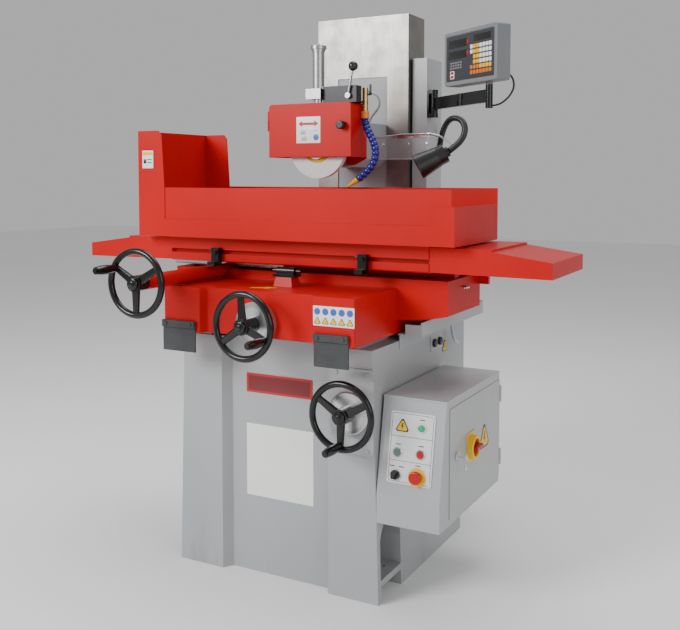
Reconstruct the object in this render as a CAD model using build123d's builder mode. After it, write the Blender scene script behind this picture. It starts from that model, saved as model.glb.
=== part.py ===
"""Manual surface grinder, modelled as separate pieces in millimetres.

X runs along the table to the operator's right, Y runs back from the operator and Z is up.
The origin is on the floor, midway between the four foundation-bolt holes of the base.
Rest position: table and saddle in mid travel, grinding head a little above the work.
"""
import os
from math import cos, pi, radians, sin, sqrt, tan

from build123d import *

# ---- driving dimensions: foundation and base casting ----
bolt_span_y = 490.0          # foundation bolts, front to rear
bolt_inset_y = 115.0         # front bolts behind the base's front face
bolt_hole_radius = 9.0
base_half_floor = 343.0      # half width of the base at the floor
bolt_edge = 43.0             # foundation bolts in from the base's sides
base_taper = 20.0            # the base narrows by this much on each side up to its top
base_top = 716.0
base_depth = 640.0
recess_half = 184.0          # half width of the recess between the two front pads
recess_depth = 30.0
pedestal_half = 230.0        # narrower rear part that carries the column
pedestal_rear = 870.0
base_wall = 18.0
pocket_height = 230.0        # top of the arched bolt pockets
pocket_depth = 81.0
ledge_bottom = 45.0          # the bolt ledges stand clear of the floor
ledge_thickness = 18.0
screw_radius = 8.0           # M16 levelling screws

# ---- driving dimensions: ways, saddle and cross feed ----
way_height = 24.0            # cross ways on the base
way_offset = 250.0           # distance of each cross way from the centre line
way_width = 56.0
slide_gap = 0.3              # oil gap left on every sliding face
saddle_half = 320.0          # half width of the saddle's front block
saddle_front = -100.0        # front face of the saddle's wings, from the base front
saddle_block_height = 132.0
saddle_recess = 22.0
saddle_recess_half = 190.0
long_body_half = 480.0       # half length of the saddle's upper body
long_body_front = 165.0
long_body_rear = 430.0
long_body_top = 900.0
cross_axis_z = 781.0         # cross-feed screw
feed_screw_radius = 15.0
running = 0.06               # radial clearance of turning shafts
seat = 0.05                  # radial clearance of parts keyed on a shaft

# ---- driving dimensions: table and guards ----
table_half = 448.0
table_front = 97.0
table_rear = 393.0
table_bottom = 928.0
table_thickness = 78.0
work_half_length = 230.0     # raised working surface
work_front = 130.0
work_rear = 330.0
work_height = 28.0
sheet = 2.0                  # sheet-metal thickness
guard_half = 541.0
guard_front = 50.0
guard_rear = 410.0
guard_height = 155.0
catcher_height = 335.0       # tall spark catcher at the left end
cover_tip = 793.0            # end covers reach this far from the centre

# ---- driving dimensions: handwheels ----
wheel_radius = 100.0
rim_radius = 9.5
hub_radius = 23.0
shaft_radius = 10.0
grip_length = 74.0
grip_pin_radius = 5.0

# ---- driving dimensions: column, head and grinding wheel ----
column_top = 1590.0
column_front = 628.0         # front of the column's vertical ways
column_rear = 850.0
column_half = 150.0
cover_front = 575.0          # stainless way cover in front of the column
cover_half = 172.0
cover_top = 1737.0
slot_half = 94.0             # opening in the way cover that the head passes through
slot_bottom = 1130.0
slot_top = 1532.0
spindle_z = 1290.0
wheel_outer = 100.0          # grinding wheel radius
wheel_thickness = 20.0
wheel_front = 262.0
spindle_radius = 16.0

# ---- driving dimensions: electrical box ----
box_reach = 180.5            # the box's door side stands out this far from the base at the floor
box_bottom = 237.0
box_height = 346.0
box_depth = 495.0
box_kink = 321.0             # height where the front starts to slope back
box_slope_run = 50.0
button_radius = 9.0
button_gap = 0.4

bolt_span_x = 2 * (base_half_floor - bolt_edge)   # foundation bolts, left to right
box_right = base_half_floor + box_reach
base_front = -bolt_span_y / 2 - bolt_inset_y
base_half_top = base_half_floor - base_taper
saddle_bottom = base_top + way_height
saddle_top = saddle_bottom + saddle_block_height
table_top = table_bottom + table_thickness
box_top = box_bottom + box_height


def back(distance):
    """Y of a point that lies this far behind the base's front face."""
    return base_front + distance


def base_half(height):
    """Half width of the tapered base at a height above the floor."""
    return base_half_floor - base_taper * height / base_top


def facing(distance):
    """Sketch plane that faces the operator, this far behind the base's front face."""
    return Plane.XZ.offset(-back(distance))


def block(x_range, y_range, z_range, mode=Mode.ADD):
    """Rectangular block in the current part; y_range counts back from the base's front face."""
    (x0, x1), (y0, y1), (z0, z1) = x_range, y_range, z_range
    with Locations(((x0 + x1) / 2, back((y0 + y1) / 2), (z0 + z1) / 2)):
        Box(x1 - x0, y1 - y0, z1 - z0, mode=mode)


def rod(start, direction, radius, length, mode=Mode.ADD):
    """Cylinder in the current part that starts at a point and runs along a direction."""
    with Locations(Plane(origin=start, z_dir=direction)):
        Cylinder(radius, length, align=(Align.CENTER, Align.CENTER, Align.MIN), mode=mode)


def outline(points):
    """Closed straight-sided face in the current sketch."""
    with BuildLine() as edge:
        Polyline(*points, close=True)
    make_face(edge.edges())


os.makedirs("parts", exist_ok=True)


def save(piece, label):
    """Label a finished piece and write it as its own file."""
    piece.label = label
    export_step(piece, f"parts/{label}.step")


# ---- base casting: tapered box with front pads, bolt pockets, rear pedestal and cross ways ----
slope_run = 19.0
deck = 26.0
side_cavity_bottom = 250.0
inner_half = 235.0
pocket_front = 20.0
pocket_rear = 155.0
rear_pocket = (560.0, base_depth + 1)
rear_pocket_x = (bolt_span_x / 2 - 50, bolt_span_x / 2 + 26)
way_length = (5.0, 545.0)
nut_y = (240.0, 290.0)
lift_x = 262.0               # elevating handwheel's axis
lift_z = 541.0
screw_y = 685.0              # vertical elevating screw, behind the column's ways
gear_half = 312.0
gear_rear = 745.0
gear_bottom = 420.0


def base_outline(half):
    """Plan of the base at one level: two pads at the front with a recess between them."""
    inner = recess_half - slope_run
    return [
        (-half, back(0)),
        (-recess_half, back(0)),
        (-inner, back(recess_depth)),
        (inner, back(recess_depth)),
        (recess_half, back(0)),
        (half, back(0)),
        (half, back(base_depth)),
        (-half, back(base_depth)),
    ]


with BuildPart() as base_casting:
    with BuildSketch(Plane.XY):
        outline(base_outline(base_half_floor))
    with BuildSketch(Plane.XY.offset(base_top)):
        outline(base_outline(base_half_top))
    loft(ruled=True)
    block((-pedestal_half, pedestal_half), (base_depth - 40, pedestal_rear), (0, base_top))
    # the hollow under the deck, wider above the bolt pockets
    block(
        (-inner_half, inner_half), (recess_depth + base_wall, base_depth - base_wall),
        (base_wall, base_top - deck), Mode.SUBTRACT,
    )
    for side in (-1, 1):
        near = side * (inner_half - 1)
        far = side * (base_half(base_top) - base_wall)
        block(
            (min(near, far), max(near, far)), (pocket_front + base_wall, base_depth - base_wall),
            (side_cavity_bottom, base_top - deck), Mode.SUBTRACT,
        )
    block(
        (-pedestal_half + base_wall, pedestal_half - base_wall),
        (base_depth - base_wall - 1, pedestal_rear - base_wall),
        (base_wall, base_top - deck), Mode.SUBTRACT,
    )
    # wider gear housing across the pedestal for the elevating drive
    block((-gear_half, gear_half), (base_depth - 1, gear_rear), (gear_bottom, base_top - 1))
    block(
        (-gear_half + base_wall, gear_half - base_wall),
        (base_depth - base_wall - 1, gear_rear - base_wall),
        (gear_bottom + base_wall, base_top - deck), Mode.SUBTRACT,
    )
    # arched pockets at the front of each side, square ones facing the rear
    arch_radius = (pocket_rear - pocket_front) / 2
    arch_centre = pocket_height - arch_radius
    for side in (-1, 1):
        pocket_inner = side * (base_half_floor - pocket_depth)
        with BuildSketch(Plane.YZ.offset(pocket_inner)):
            with Locations((back((pocket_front + pocket_rear) / 2), arch_centre)):
                Circle(arch_radius)
            foot_level = ledge_bottom + ledge_thickness
            with Locations((back((pocket_front + pocket_rear) / 2), (foot_level + arch_centre) / 2)):
                Rectangle(2 * arch_radius, arch_centre - foot_level)
        extrude(amount=side * (pocket_depth + 5), mode=Mode.SUBTRACT)
        outer = side * (base_half_floor + 5)
        span = (min(pocket_inner, outer), max(pocket_inner, outer))
        block(span, (pocket_front, pocket_rear), (-1, ledge_bottom), Mode.SUBTRACT)
        rear_span = tuple(sorted((side * rear_pocket_x[0], side * rear_pocket_x[1])))
        block(rear_span, rear_pocket, (foot_level, 200), Mode.SUBTRACT)
        block(rear_span, rear_pocket, (-1, ledge_bottom), Mode.SUBTRACT)
    with Locations(Plane.XY.offset(ledge_bottom - 1)):
        with GridLocations(bolt_span_x, bolt_span_y, 2, 2):
            Cylinder(
                bolt_hole_radius, ledge_thickness + 2,
                align=(Align.CENTER, Align.CENTER, Align.MIN), mode=Mode.SUBTRACT,
            )
    levelling_points = [
        (side * bolt_span_x / 2, back(bolt_inset_y - 50)) for side in (-1, 1)
    ] + [
        (side * (bolt_span_x / 2 - 30), back(bolt_inset_y + bolt_span_y - 24)) for side in (-1, 1)
    ]
    for x, y in levelling_points:
        rod((x, y, ledge_bottom - 1), (0, 0, 1), screw_radius + seat, ledge_thickness + 2, Mode.SUBTRACT)
    # the two cross ways and the bracket that holds the cross-feed nut
    for side in (-1, 1):
        centre = side * way_offset
        block((centre - way_width / 2, centre + way_width / 2), way_length,
              (base_top - 1, saddle_bottom - slide_gap))
    block((-34, 34), nut_y, (base_top - 1, cross_axis_z + 30))
    rod((0, back(nut_y[0] - 1), cross_axis_z), (0, 1, 0), feed_screw_radius + running,
        nut_y[1] - nut_y[0] + 2, Mode.SUBTRACT)
    # bearing bore for the elevating screw, and the seat of the elevating shaft's sleeve
    rod((0, back(screw_y), base_top - deck - 1), (0, 0, 1), feed_screw_radius + running, deck + 2,
        Mode.SUBTRACT)
    rod((lift_x, back(-1), lift_z), (0, 1, 0), 20, base_wall + pocket_front + 3, Mode.SUBTRACT)
save(base_casting.part, "base_casting")

# ---- levelling screws: hexagon head, lock nut on the ledge, foot on the floor ----
with BuildPart() as levelling_screws:
    for x, y in levelling_points:
        rod((x, y, 0), (0, 0, 1), 18, 8)
        rod((x, y, 7), (0, 0, 1), screw_radius, 92)
        with BuildSketch(Plane.XY.offset(ledge_bottom + ledge_thickness)):
            with Locations((x, y)):
                RegularPolygon(12, 6)
        extrude(amount=9)
        with BuildSketch(Plane.XY.offset(90)):
            with Locations((x, y)):
                RegularPolygon(12, 6)
        extrude(amount=10)
save(levelling_screws.part, "levelling_screws")

# ---- elevating flange: bolted bearing plate on the right front pad ----
flange_thickness = 6.0
with BuildPart() as elevating_flange:
    block((lift_x - 68, lift_x + 68), (-flange_thickness, 0), (lift_z - 122, lift_z + 122))
    fillet(elevating_flange.edges().filter_by(Axis.Y), 10)
    rod((lift_x, back(0), lift_z), (0, 1, 0), 19.9, base_wall + pocket_front)
    rod((lift_x, back(-flange_thickness - 1), lift_z), (0, 1, 0), shaft_radius + running,
        base_wall + pocket_front + 20, Mode.SUBTRACT)
    for dx in (-50, 50):
        for dz in (-108, 108):
            rod((lift_x + dx, back(-flange_thickness - 4), lift_z + dz), (0, 1, 0), 6, 5)
save(elevating_flange.part, "elevating_flange")

# ---- saddle casting: front block with wings, long upper body, cross-feed hollow, feed housing ----
traverse_x = -290.0
traverse_z = 896.0
housing_radius = 22.0
housing_front = -225.0
pinion_y = (193.0, 221.0)
pinion_tip = 14.0
hollow_y = (130.0, 420.0)
rail_y = ((240.0, 280.0), (345.0, 385.0))
rail_half = 470.0
body_end_bottom = 800.0
body_root_bottom = 780.0
core_wall = 20.0             # thickness left round the cored pockets of the saddle
core_inner = 72.0
core_outer = 204.0           # the pockets stop short of the cross ways

with BuildPart() as saddle_casting:
    with BuildSketch(Plane.XY.offset(saddle_bottom)):
        recess_inner = saddle_recess_half - 12
        outline([
            (-saddle_half, back(saddle_front)),
            (-saddle_recess_half, back(saddle_front)),
            (-recess_inner, back(saddle_front + saddle_recess)),
            (recess_inner, back(saddle_front + saddle_recess)),
            (saddle_recess_half, back(saddle_front)),
            (saddle_half, back(saddle_front)),
            (saddle_half, back(long_body_rear)),
            (-saddle_half, back(long_body_rear)),
        ])
    extrude(amount=saddle_block_height)
    fillet(saddle_casting.edges().filter_by(Axis.Z).group_by(Axis.Y)[0], 5)
    with BuildSketch(facing(long_body_front)):
        with BuildLine():
            Polyline(
                (-long_body_half, body_end_bottom), (-long_body_half, long_body_top),
                (long_body_half, long_body_top), (long_body_half, body_end_bottom),
            )
            right = ThreePointArc(
                (long_body_half, body_end_bottom), ((long_body_half + saddle_half) / 2, 785),
                (saddle_half - 10, body_root_bottom),
            )
            left = ThreePointArc(
                (-long_body_half, body_end_bottom), (-(long_body_half + saddle_half) / 2, 785),
                (-saddle_half + 10, body_root_bottom),
            )
            Line(right @ 1, left @ 1)
        make_face()
    extrude(amount=long_body_front - long_body_rear)
    # rear apron that reaches a little past the body's ends
    block((-512, 512), (long_body_rear - 16, long_body_rear), (868, long_body_top))
    for y_range in rail_y:
        block((-rail_half, rail_half), y_range, (long_body_top - 1, table_bottom - slide_gap))
    # boss under the reversing stop
    with BuildSketch(Plane.XY.offset(saddle_top)):
        with Locations((10, back(62))):
            Rectangle(64, 50)
    extrude(amount=28, taper=12)
    # hollow for the cross-feed screw and its nut bracket
    block((-52, 52), hollow_y, (saddle_bottom - 1, cross_axis_z + 44), Mode.SUBTRACT)
    # cored pockets under the front block and under both overhanging ends
    for side in (-1, 1):
        block(tuple(sorted((side * core_inner, side * core_outer))),
              (saddle_front + saddle_recess + core_wall, long_body_rear - core_wall),
              (saddle_bottom - 1, saddle_top - core_wall), Mode.SUBTRACT)
        block(tuple(sorted((side * (saddle_half + core_wall), side * (long_body_half - core_wall)))),
              (long_body_front + core_wall, long_body_rear - 16 - core_wall),
              (saddle_bottom, long_body_top - core_wall), Mode.SUBTRACT)
    rod((0, back(saddle_front - 10), cross_axis_z), (0, 1, 0), feed_screw_radius + running,
        hollow_y[0] - saddle_front + 20, Mode.SUBTRACT)
    # traverse-shaft housing with the pinion's well behind it
    rod((traverse_x, back(housing_front), traverse_z), (0, 1, 0), housing_radius,
        pinion_y[0] - 3 - housing_front)
    block((traverse_x - 17, traverse_x + 17), (pinion_y[0] - 3, pinion_y[1] + 3),
          (traverse_z - 18, traverse_z + 40), Mode.SUBTRACT)
    rod((traverse_x, back(housing_front - 1), traverse_z), (0, 1, 0), shaft_radius + running,
        pinion_y[0] - housing_front, Mode.SUBTRACT)
save(saddle_casting.part, "saddle_casting")

# ---- wiper flaps: rubber aprons with clamp bars under the saddle's wings ----
flap_x = ((-320.0, -203.0), (197.0, 303.0))
flap_z = (681.0, 772.0)
flap_thickness = 5.0
with BuildPart() as wiper_flaps:
    for x_range in flap_x:
        block(x_range, (saddle_front - flap_thickness, saddle_front), flap_z)
        block(x_range, (saddle_front - flap_thickness - 6, saddle_front - flap_thickness),
              (flap_z[1] - 20, flap_z[1]))
        for x in (x_range[0] + 14, x_range[1] - 14):
            rod((x, back(saddle_front - flap_thickness - 9), flap_z[1] - 10), (0, 1, 0), 5, 4)
save(wiper_flaps.part, "wiper_flaps")

# ---- reversing stop: black plate with a plunger cylinder that the dogs meet ----
stop_z = 917.0
with BuildPart() as reversing_stop:
    block((-26, 46), (42, 84), (saddle_top + 28, saddle_top + 36))
    block((-18, 38), (52, 70), (saddle_top + 35, stop_z))
    rod((-20, back(62), stop_z), (1, 0, 0), 11, 60)
    rod((-38, back(62), stop_z), (1, 0, 0), 5, 96)
save(reversing_stop.part, "reversing_stop")


# ---- handwheels: three-spoked wheels with a spinning grip, graduated dials and feed shafts ----
def handwheel(hub, hub_back, grip_angle):
    """Wheel facing the operator; hub is the centre of the rim, grip_angle is counted from +X."""
    with BuildPart() as wheel:
        with Locations(Plane(origin=hub, x_dir=(1, 0, 0), z_dir=(0, -1, 0))):
            Torus(wheel_radius - rim_radius, rim_radius)
        rod((hub[0], hub[1] - 12, hub[2]), (0, 1, 0), hub_radius, hub_back + 12)
        for turn in (0, 120, 240):
            angle = radians(grip_angle + turn)
            direction = Vector(cos(angle), 0, sin(angle))
            start = Vector(*hub) + direction * (hub_radius - 4)
            with BuildSketch(Plane(origin=start, x_dir=(0, 1, 0), z_dir=direction)):
                RectangleRounded(13, 25, 5)
            with BuildSketch(Plane(origin=start + direction * (wheel_radius - rim_radius - hub_radius + 4),
                                   x_dir=(0, 1, 0), z_dir=direction)):
                RectangleRounded(9, 19, 4)
            loft()
        angle = radians(grip_angle)
        reach = wheel_radius - 20
        pin = (hub[0] + reach * cos(angle), hub[1] - 5, hub[2] + reach * sin(angle))
        rod(pin, (0, -1, 0), 11, 6)
        rod((pin[0], pin[1] - 6, pin[2]), (0, -1, 0), grip_pin_radius, grip_length + 1)
        rod((pin[0], pin[1] - 6 - grip_length - 1, pin[2]), (0, -1, 0), 7.5, 3)
        rod((hub[0], hub[1] - 13, hub[2]), (0, 1, 0), shaft_radius + seat, hub_back + 14, Mode.SUBTRACT)
    return wheel.part, (pin[0], pin[1] - 6.5, pin[2])


def grip(root):
    """Tapered grip that spins on the wheel's pin, running towards the operator."""
    with BuildPart() as handle:
        with BuildSketch(Plane(origin=root, x_dir=(1, 0, 0), z_dir=(0, 0, 1))):
            with BuildLine():
                Polyline((grip_pin_radius + running, 0), (10, 0))
                Spline((10, 0), (13.5, -grip_length * 0.6), (10.5, -grip_length))
                Polyline((10.5, -grip_length), (grip_pin_radius + running, -grip_length),
                         (grip_pin_radius + running, 0))
            make_face()
        revolve(axis=Axis(root, (0, 1, 0)))
    return handle.part


def dial(hub, near, far, radius):
    """Graduated dial between two distances behind the base's front, round the wheel's axis."""
    with BuildPart() as disc:
        rod((hub[0], back(near), hub[2]), (0, 1, 0), radius, far - near)
        chamfer(disc.edges().sort_by(Axis.Y)[0], 4)
        rod((hub[0], back(near) - 1, hub[2]), (0, 1, 0), shaft_radius + seat, far - near + 2,
            Mode.SUBTRACT)
    return disc.part


traverse_hub = (traverse_x, back(-258), traverse_z)
cross_hub = (0, back(-155), cross_axis_z)
lift_hub = (lift_x, back(-68), lift_z)
dial_radius = 62.0
cross_dial_y = (-106.0, saddle_front + saddle_recess - 0.6)
lift_dial_y = (-30.0, -flange_thickness - 4.6)

wheel_specs = [
    ("traverse", traverse_hub, housing_front - 0.6 + 258, 150),
    ("cross", cross_hub, cross_dial_y[0] + 155, -25),
    ("elevating", lift_hub, lift_dial_y[0] + 68, -92),
]
for name, hub, hub_back, grip_angle in wheel_specs:
    wheel, grip_root = handwheel(hub, hub_back, grip_angle)
    save(wheel, f"{name}_wheel")
    save(grip(grip_root), f"{name}_grip")
save(dial(cross_hub, *cross_dial_y, dial_radius), "cross_dial")
save(dial(lift_hub, *lift_dial_y, dial_radius - 1), "elevating_dial")

# ---- traverse shaft: handwheel nut, plain shaft and the pinion that drives the rack ----
pinion_teeth = 12
module = 2.0
pitch_radius = module * pinion_teeth / 2
root_radius = pitch_radius - 1.15 * module

with BuildPart() as traverse_shaft:
    rod((traverse_x, traverse_hub[1] - 14, traverse_z), (0, 1, 0), 15, 2)
    rod((traverse_x, traverse_hub[1] - 13, traverse_z), (0, 1, 0), shaft_radius,
        back(pinion_y[0]) - traverse_hub[1] + 13)
    rod((traverse_x, back(pinion_y[0]) - 1, traverse_z), (0, 1, 0), root_radius,
        pinion_y[1] - pinion_y[0] + 1)
    with BuildSketch(facing(pinion_y[0])):
        with Locations((traverse_x, traverse_z)):
            with PolarLocations(0, pinion_teeth, start_angle=90):
                Polygon(
                    (root_radius - 1, 1.9), (root_radius, 1.9), (pitch_radius, 1.15), (pinion_tip, 0.45),
                    (pinion_tip, -0.45), (pitch_radius, -1.15), (root_radius, -1.9),
                    (root_radius - 1, -1.9), align=None,
                )
    extrude(amount=pinion_y[0] - pinion_y[1])
save(traverse_shaft.part, "traverse_shaft")

# ---- cross-feed screw: from the handwheel through the saddle and the base's nut ----
with BuildPart() as cross_screw:
    rod((0, cross_hub[1] - 14, cross_axis_z), (0, 1, 0), 15, 2)
    rod((0, cross_hub[1] - 13, cross_axis_z), (0, 1, 0), shaft_radius,
        back(cross_dial_y[1]) - cross_hub[1] + 14)
    rod((0, back(cross_dial_y[1] + 0.8), cross_axis_z), (0, 1, 0), feed_screw_radius,
        hollow_y[1] - 4 - cross_dial_y[1])
save(cross_screw.part, "cross_screw")

# ---- elevating drive: shaft with bevel wheel, cross shaft, vertical screw with bevel wheel ----
bevel_large = 24.0
bevel_small = 10.0
bevel_gap = 0.4


def bevel(apex, direction):
    """Bevel wheel in the current part that narrows along direction towards the shafts' crossing."""
    origin = Vector(*apex) - Vector(*direction) * (bevel_large + bevel_gap)
    with Locations(Plane(origin=origin, z_dir=direction)):
        Cone(bevel_large, bevel_small, bevel_large - bevel_small,
             align=(Align.CENTER, Align.CENTER, Align.MIN))


lift_corner = (lift_x, back(screw_y), lift_z)
lift_crossing = (0, back(screw_y), lift_z)
screw_top = 1560.0
with BuildPart() as elevating_shaft:
    rod((lift_x, lift_hub[1] - 14, lift_z), (0, 1, 0), 15, 2)
    rod((lift_x, lift_hub[1] - 13, lift_z), (0, 1, 0), shaft_radius,
        lift_corner[1] - bevel_large - lift_hub[1] + 13)
    bevel(lift_corner, (0, 1, 0))
save(elevating_shaft.part, "elevating_shaft")

with BuildPart() as lift_cross_shaft:
    rod((bevel_large, back(screw_y), lift_z), (1, 0, 0), shaft_radius, lift_x - 2 * bevel_large)
    bevel(lift_corner, (1, 0, 0))
    bevel(lift_crossing, (-1, 0, 0))
save(lift_cross_shaft.part, "lift_cross_shaft")

with BuildPart() as elevating_screw:
    rod((0, back(screw_y), lift_z + bevel_large), (0, 0, 1), feed_screw_radius,
        screw_top - lift_z - bevel_large)
    bevel(lift_crossing, (0, 0, -1))
save(elevating_screw.part, "elevating_screw")

# ---- table: slotted front face, tongues under the end covers, raised working surface ----
slot_z = 960.0
slot_mouth = 12.0
slot_throat = 24.0
slot_depth = 8.0
tongue_half = 512.0
with BuildPart() as table_casting:
    block((-table_half, table_half), (table_front, table_rear), (table_bottom, table_top))
    chamfer(table_casting.edges().filter_by(Axis.X).group_by(Axis.Y)[0].sort_by(Axis.Z)[0], 4)
    block((-tongue_half, tongue_half), (150, 340), (table_bottom, 998))
    block((-work_half_length, work_half_length), (work_front, work_rear),
          (table_top - 1, table_top + work_height))
    # front slot for the stop dogs and the slot of the working surface
    mouth = (slot_z - slot_mouth / 2, slot_z + slot_mouth / 2)
    throat = (slot_z - slot_throat / 2, slot_z + slot_throat / 2)
    through = (-table_half - 1, table_half + 1)
    block(through, (table_front - 1, table_front + slot_depth), mouth, Mode.SUBTRACT)
    block(through, (table_front + slot_depth, table_front + 2 * slot_depth), throat, Mode.SUBTRACT)
    middle = (work_front + work_rear) / 2
    surface = table_top + work_height
    across = (-work_half_length - 1, work_half_length + 1)
    block(across, (middle - 7, middle + 7), (surface - 12, surface + 1), Mode.SUBTRACT)
    block(across, (middle - 12, middle + 12), (surface - 22, surface - 12), Mode.SUBTRACT)
save(table_casting.part, "table_casting")

# ---- table rack: straight teeth facing down on the pinion ----
rack_x = (-512.0, -84.0)
rack_y = (195.0, 219.0)
tooth_pitch = pi * module
rack_line = traverse_z + pitch_radius
with BuildPart() as table_rack:
    first = -int((traverse_x - rack_x[0]) / tooth_pitch)
    last = int((rack_x[1] - traverse_x) / tooth_pitch)
    root_line = rack_line + 1.2 * module
    profile = [(rack_x[0], table_bottom), (rack_x[0], root_line)]
    for tooth in range(first, last):
        # the pinion's lowest tooth gap lies over each rack tooth, so teeth sit half a pitch off
        centre = traverse_x + (tooth + 0.5) * tooth_pitch
        profile += [
            (centre - 2.1, root_line), (centre - 0.75, rack_line - 0.9 * module),
            (centre + 0.75, rack_line - 0.9 * module), (centre + 2.1, root_line),
        ]
    profile += [(rack_x[1], root_line), (rack_x[1], table_bottom)]
    with BuildSketch(facing(rack_y[0])):
        outline(profile)
    extrude(amount=rack_y[0] - rack_y[1])
save(table_rack.part, "table_rack")

# ---- stop dogs: clamped in the table's front slot, each with a finger towards the stop ----
dog_thickness = 26.0
dog_bottom = traverse_z + housing_radius + 1   # a dog passes over the traverse housing
dog_places = {"left_stop_dog": -262.0, "right_stop_dog": 250.0}
dog_gap = 0.3
for label, dog_x in dog_places.items():
    with BuildPart() as stop_dog:
        across = (dog_x - dog_thickness / 2, dog_x + dog_thickness / 2)
        block(across, (76, table_front - dog_gap), (dog_bottom, 974))
        block(across, (54, 77), (dog_bottom, 932))
        block((dog_x - 9, dog_x + 9), (table_front - 1, table_front + slot_depth + dog_gap),
              (mouth[0] + dog_gap, mouth[1] - dog_gap))
        block((dog_x - 9, dog_x + 9),
              (table_front + slot_depth + dog_gap, table_front + 2 * slot_depth - dog_gap),
              (throat[0] + 1, throat[1] - 1))
        rod((dog_x - dog_thickness / 2 - 9, back(84), slot_z + 5), (1, 0, 0), 3.5, 12)
        rod((dog_x, back(70), slot_z), (0, 1, 0), 8, 8)
    save(stop_dog.part, label)

# ---- splash guard: tray of folded sheet round the table, with a higher front panel ----
guard_floor = table_top
band_top = 1062.0
guard_top = guard_floor + guard_height
return_top = 1114.0
return_x = 477.0
panel_left = -436.0
with BuildPart() as splash_guard:
    block((-guard_half, guard_half), (guard_front, guard_rear), (guard_floor, guard_floor + sheet))
    block((-work_half_length - 8, work_half_length + 8), (work_front - 8, work_rear + 8),
          (guard_floor - 1, guard_floor + sheet + 1), Mode.SUBTRACT)
    block((-guard_half, guard_half), (guard_front, guard_front + sheet), (guard_floor, band_top))
    block((panel_left, guard_half - 10), (guard_front + sheet, guard_front + 2 * sheet),
          (guard_floor + sheet, guard_top))
    block((return_x, guard_half), (guard_front, guard_front + sheet), (guard_floor, return_top))
    block((guard_half - sheet, guard_half), (guard_front, guard_rear), (guard_floor, return_top))
    block((-guard_half, guard_half), (guard_rear - sheet, guard_rear), (guard_floor, guard_top))
save(splash_guard.part, "splash_guard")

# ---- spark catcher: tall sheet on three sides of the left end ----
catcher_top = guard_floor + catcher_height
catcher_right = -432.0
catcher_lean = 16.0
catcher_z = (guard_floor + sheet, catcher_top)


def catcher_wing(lowest):
    """Outline of a catcher wing, leaning back slightly towards its rounded top corner."""
    return [
        (-guard_half, lowest), (catcher_right - 4, lowest), (catcher_right - 4, guard_top),
        (catcher_right - catcher_lean + 2, catcher_top - 14), (catcher_right - catcher_lean - 10, catcher_top),
        (-guard_half, catcher_top),
    ]


with BuildPart() as spark_catcher:
    with BuildSketch(facing(guard_front)):
        outline(catcher_wing(band_top))
    extrude(amount=-sheet)
    with BuildSketch(facing(guard_rear - 2 * sheet)):
        outline(catcher_wing(guard_floor + sheet))
    extrude(amount=-sheet)
    block((-guard_half, -guard_half + sheet), (guard_front + sheet, guard_rear - sheet), catcher_z)
    block((-guard_half, -guard_half + sheet), (guard_front, guard_front + sheet + 1),
          (band_top, catcher_top))
save(spark_catcher.part, "spark_catcher")

# ---- end covers: open-bottomed sheet hoods past each end of the table ----
cover_y = (100.0, 430.0)
cover_step = 627.0
cover_top_z = 1000.0
with BuildPart() as end_covers:
    with BuildSketch(facing(cover_y[0])):
        outline([
            (table_half, 930), (cover_tip, 927), (cover_tip, 971), (cover_step, 994),
            (cover_step, cover_top_z), (table_half, cover_top_z),
        ])
    extrude(amount=cover_y[0] - cover_y[1])
    with BuildSketch(facing(cover_y[0] + sheet)):
        outline([
            (table_half - 1, 900), (cover_tip - sheet, 900), (cover_tip - sheet, 969.2),
            (cover_step - sheet, 992.2), (cover_step - sheet, cover_top_z - sheet),
            (table_half - 1, cover_top_z - sheet),
        ])
    extrude(amount=cover_y[0] - cover_y[1] + 2 * sheet, mode=Mode.SUBTRACT)
    mirror(about=Plane.YZ)
save(end_covers.part, "end_covers")

# ---- side tray: catches the coolant that runs off the saddle, hung on the base's right side ----
tray_floor = 736.0
tray_reach = 77.0            # the tray stands out this far from the base's top edge
tray_outer = base_half_top + tray_reach
tray_y = (166.0, 690.0)
tray_sheet = 3.0
tray_inner = base_half(692)
with BuildPart() as side_tray:
    block((tray_inner + 0.5, tray_outer), tray_y, (tray_floor, tray_floor + tray_sheet))
    block((tray_outer - tray_sheet, tray_outer), tray_y, (tray_floor, 776))
    block((tray_inner + 24, tray_outer), (tray_y[0], tray_y[0] + tray_sheet), (tray_floor, 768))
    block((tray_inner + 24, tray_outer), (tray_y[1] - tray_sheet, tray_y[1]), (tray_floor, 778))
    block((tray_inner, tray_inner + tray_sheet), (tray_y[0] + 10, base_depth - 10),
          (692, tray_floor + tray_sheet))
save(side_tray.part, "side_tray")

# ---- electrical box: sheet case with a sloping front and an opening behind its side door ----
box_left = base_half(box_bottom)
door_y = (70.0, 494.0)
door_z = (254.0, 561.0)
door_x = box_right + 0.3
hinge_x = box_right + 2.5
hinge_y = 499.0
knuckle_radius = 4.0
knuckles = (290.0, 490.0)
slope_rise = box_top - box_kink
slope_length = sqrt(box_slope_run ** 2 + slope_rise ** 2)
slope_normal = (0, -slope_rise / slope_length, box_slope_run / slope_length)
panel_inset = 93.5           # middle of the control panel in from the door side
control_plane = Plane(
    origin=(box_right - panel_inset, back(box_slope_run / 2), (box_kink + box_top) / 2), x_dir=(1, 0, 0), z_dir=slope_normal,
)
start_place = (-38, -14)
stop_place = (30, -12)
selector_place = (-39, -75)
estop_place = (24, -74)
pilot_place = (28, 58)
button_places = (start_place, stop_place, estop_place)
stem_bottom = -14.0


def box_profile(inset):
    """Side view of the electrical box, drawn inside its outer surface by inset."""
    return [
        (back(inset), box_bottom + inset), (back(box_depth - inset), box_bottom + inset),
        (back(box_depth - inset), box_top - inset), (back(box_slope_run + inset * 0.8), box_top - inset),
        (back(inset), box_kink + inset * 0.1),
    ]


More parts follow.
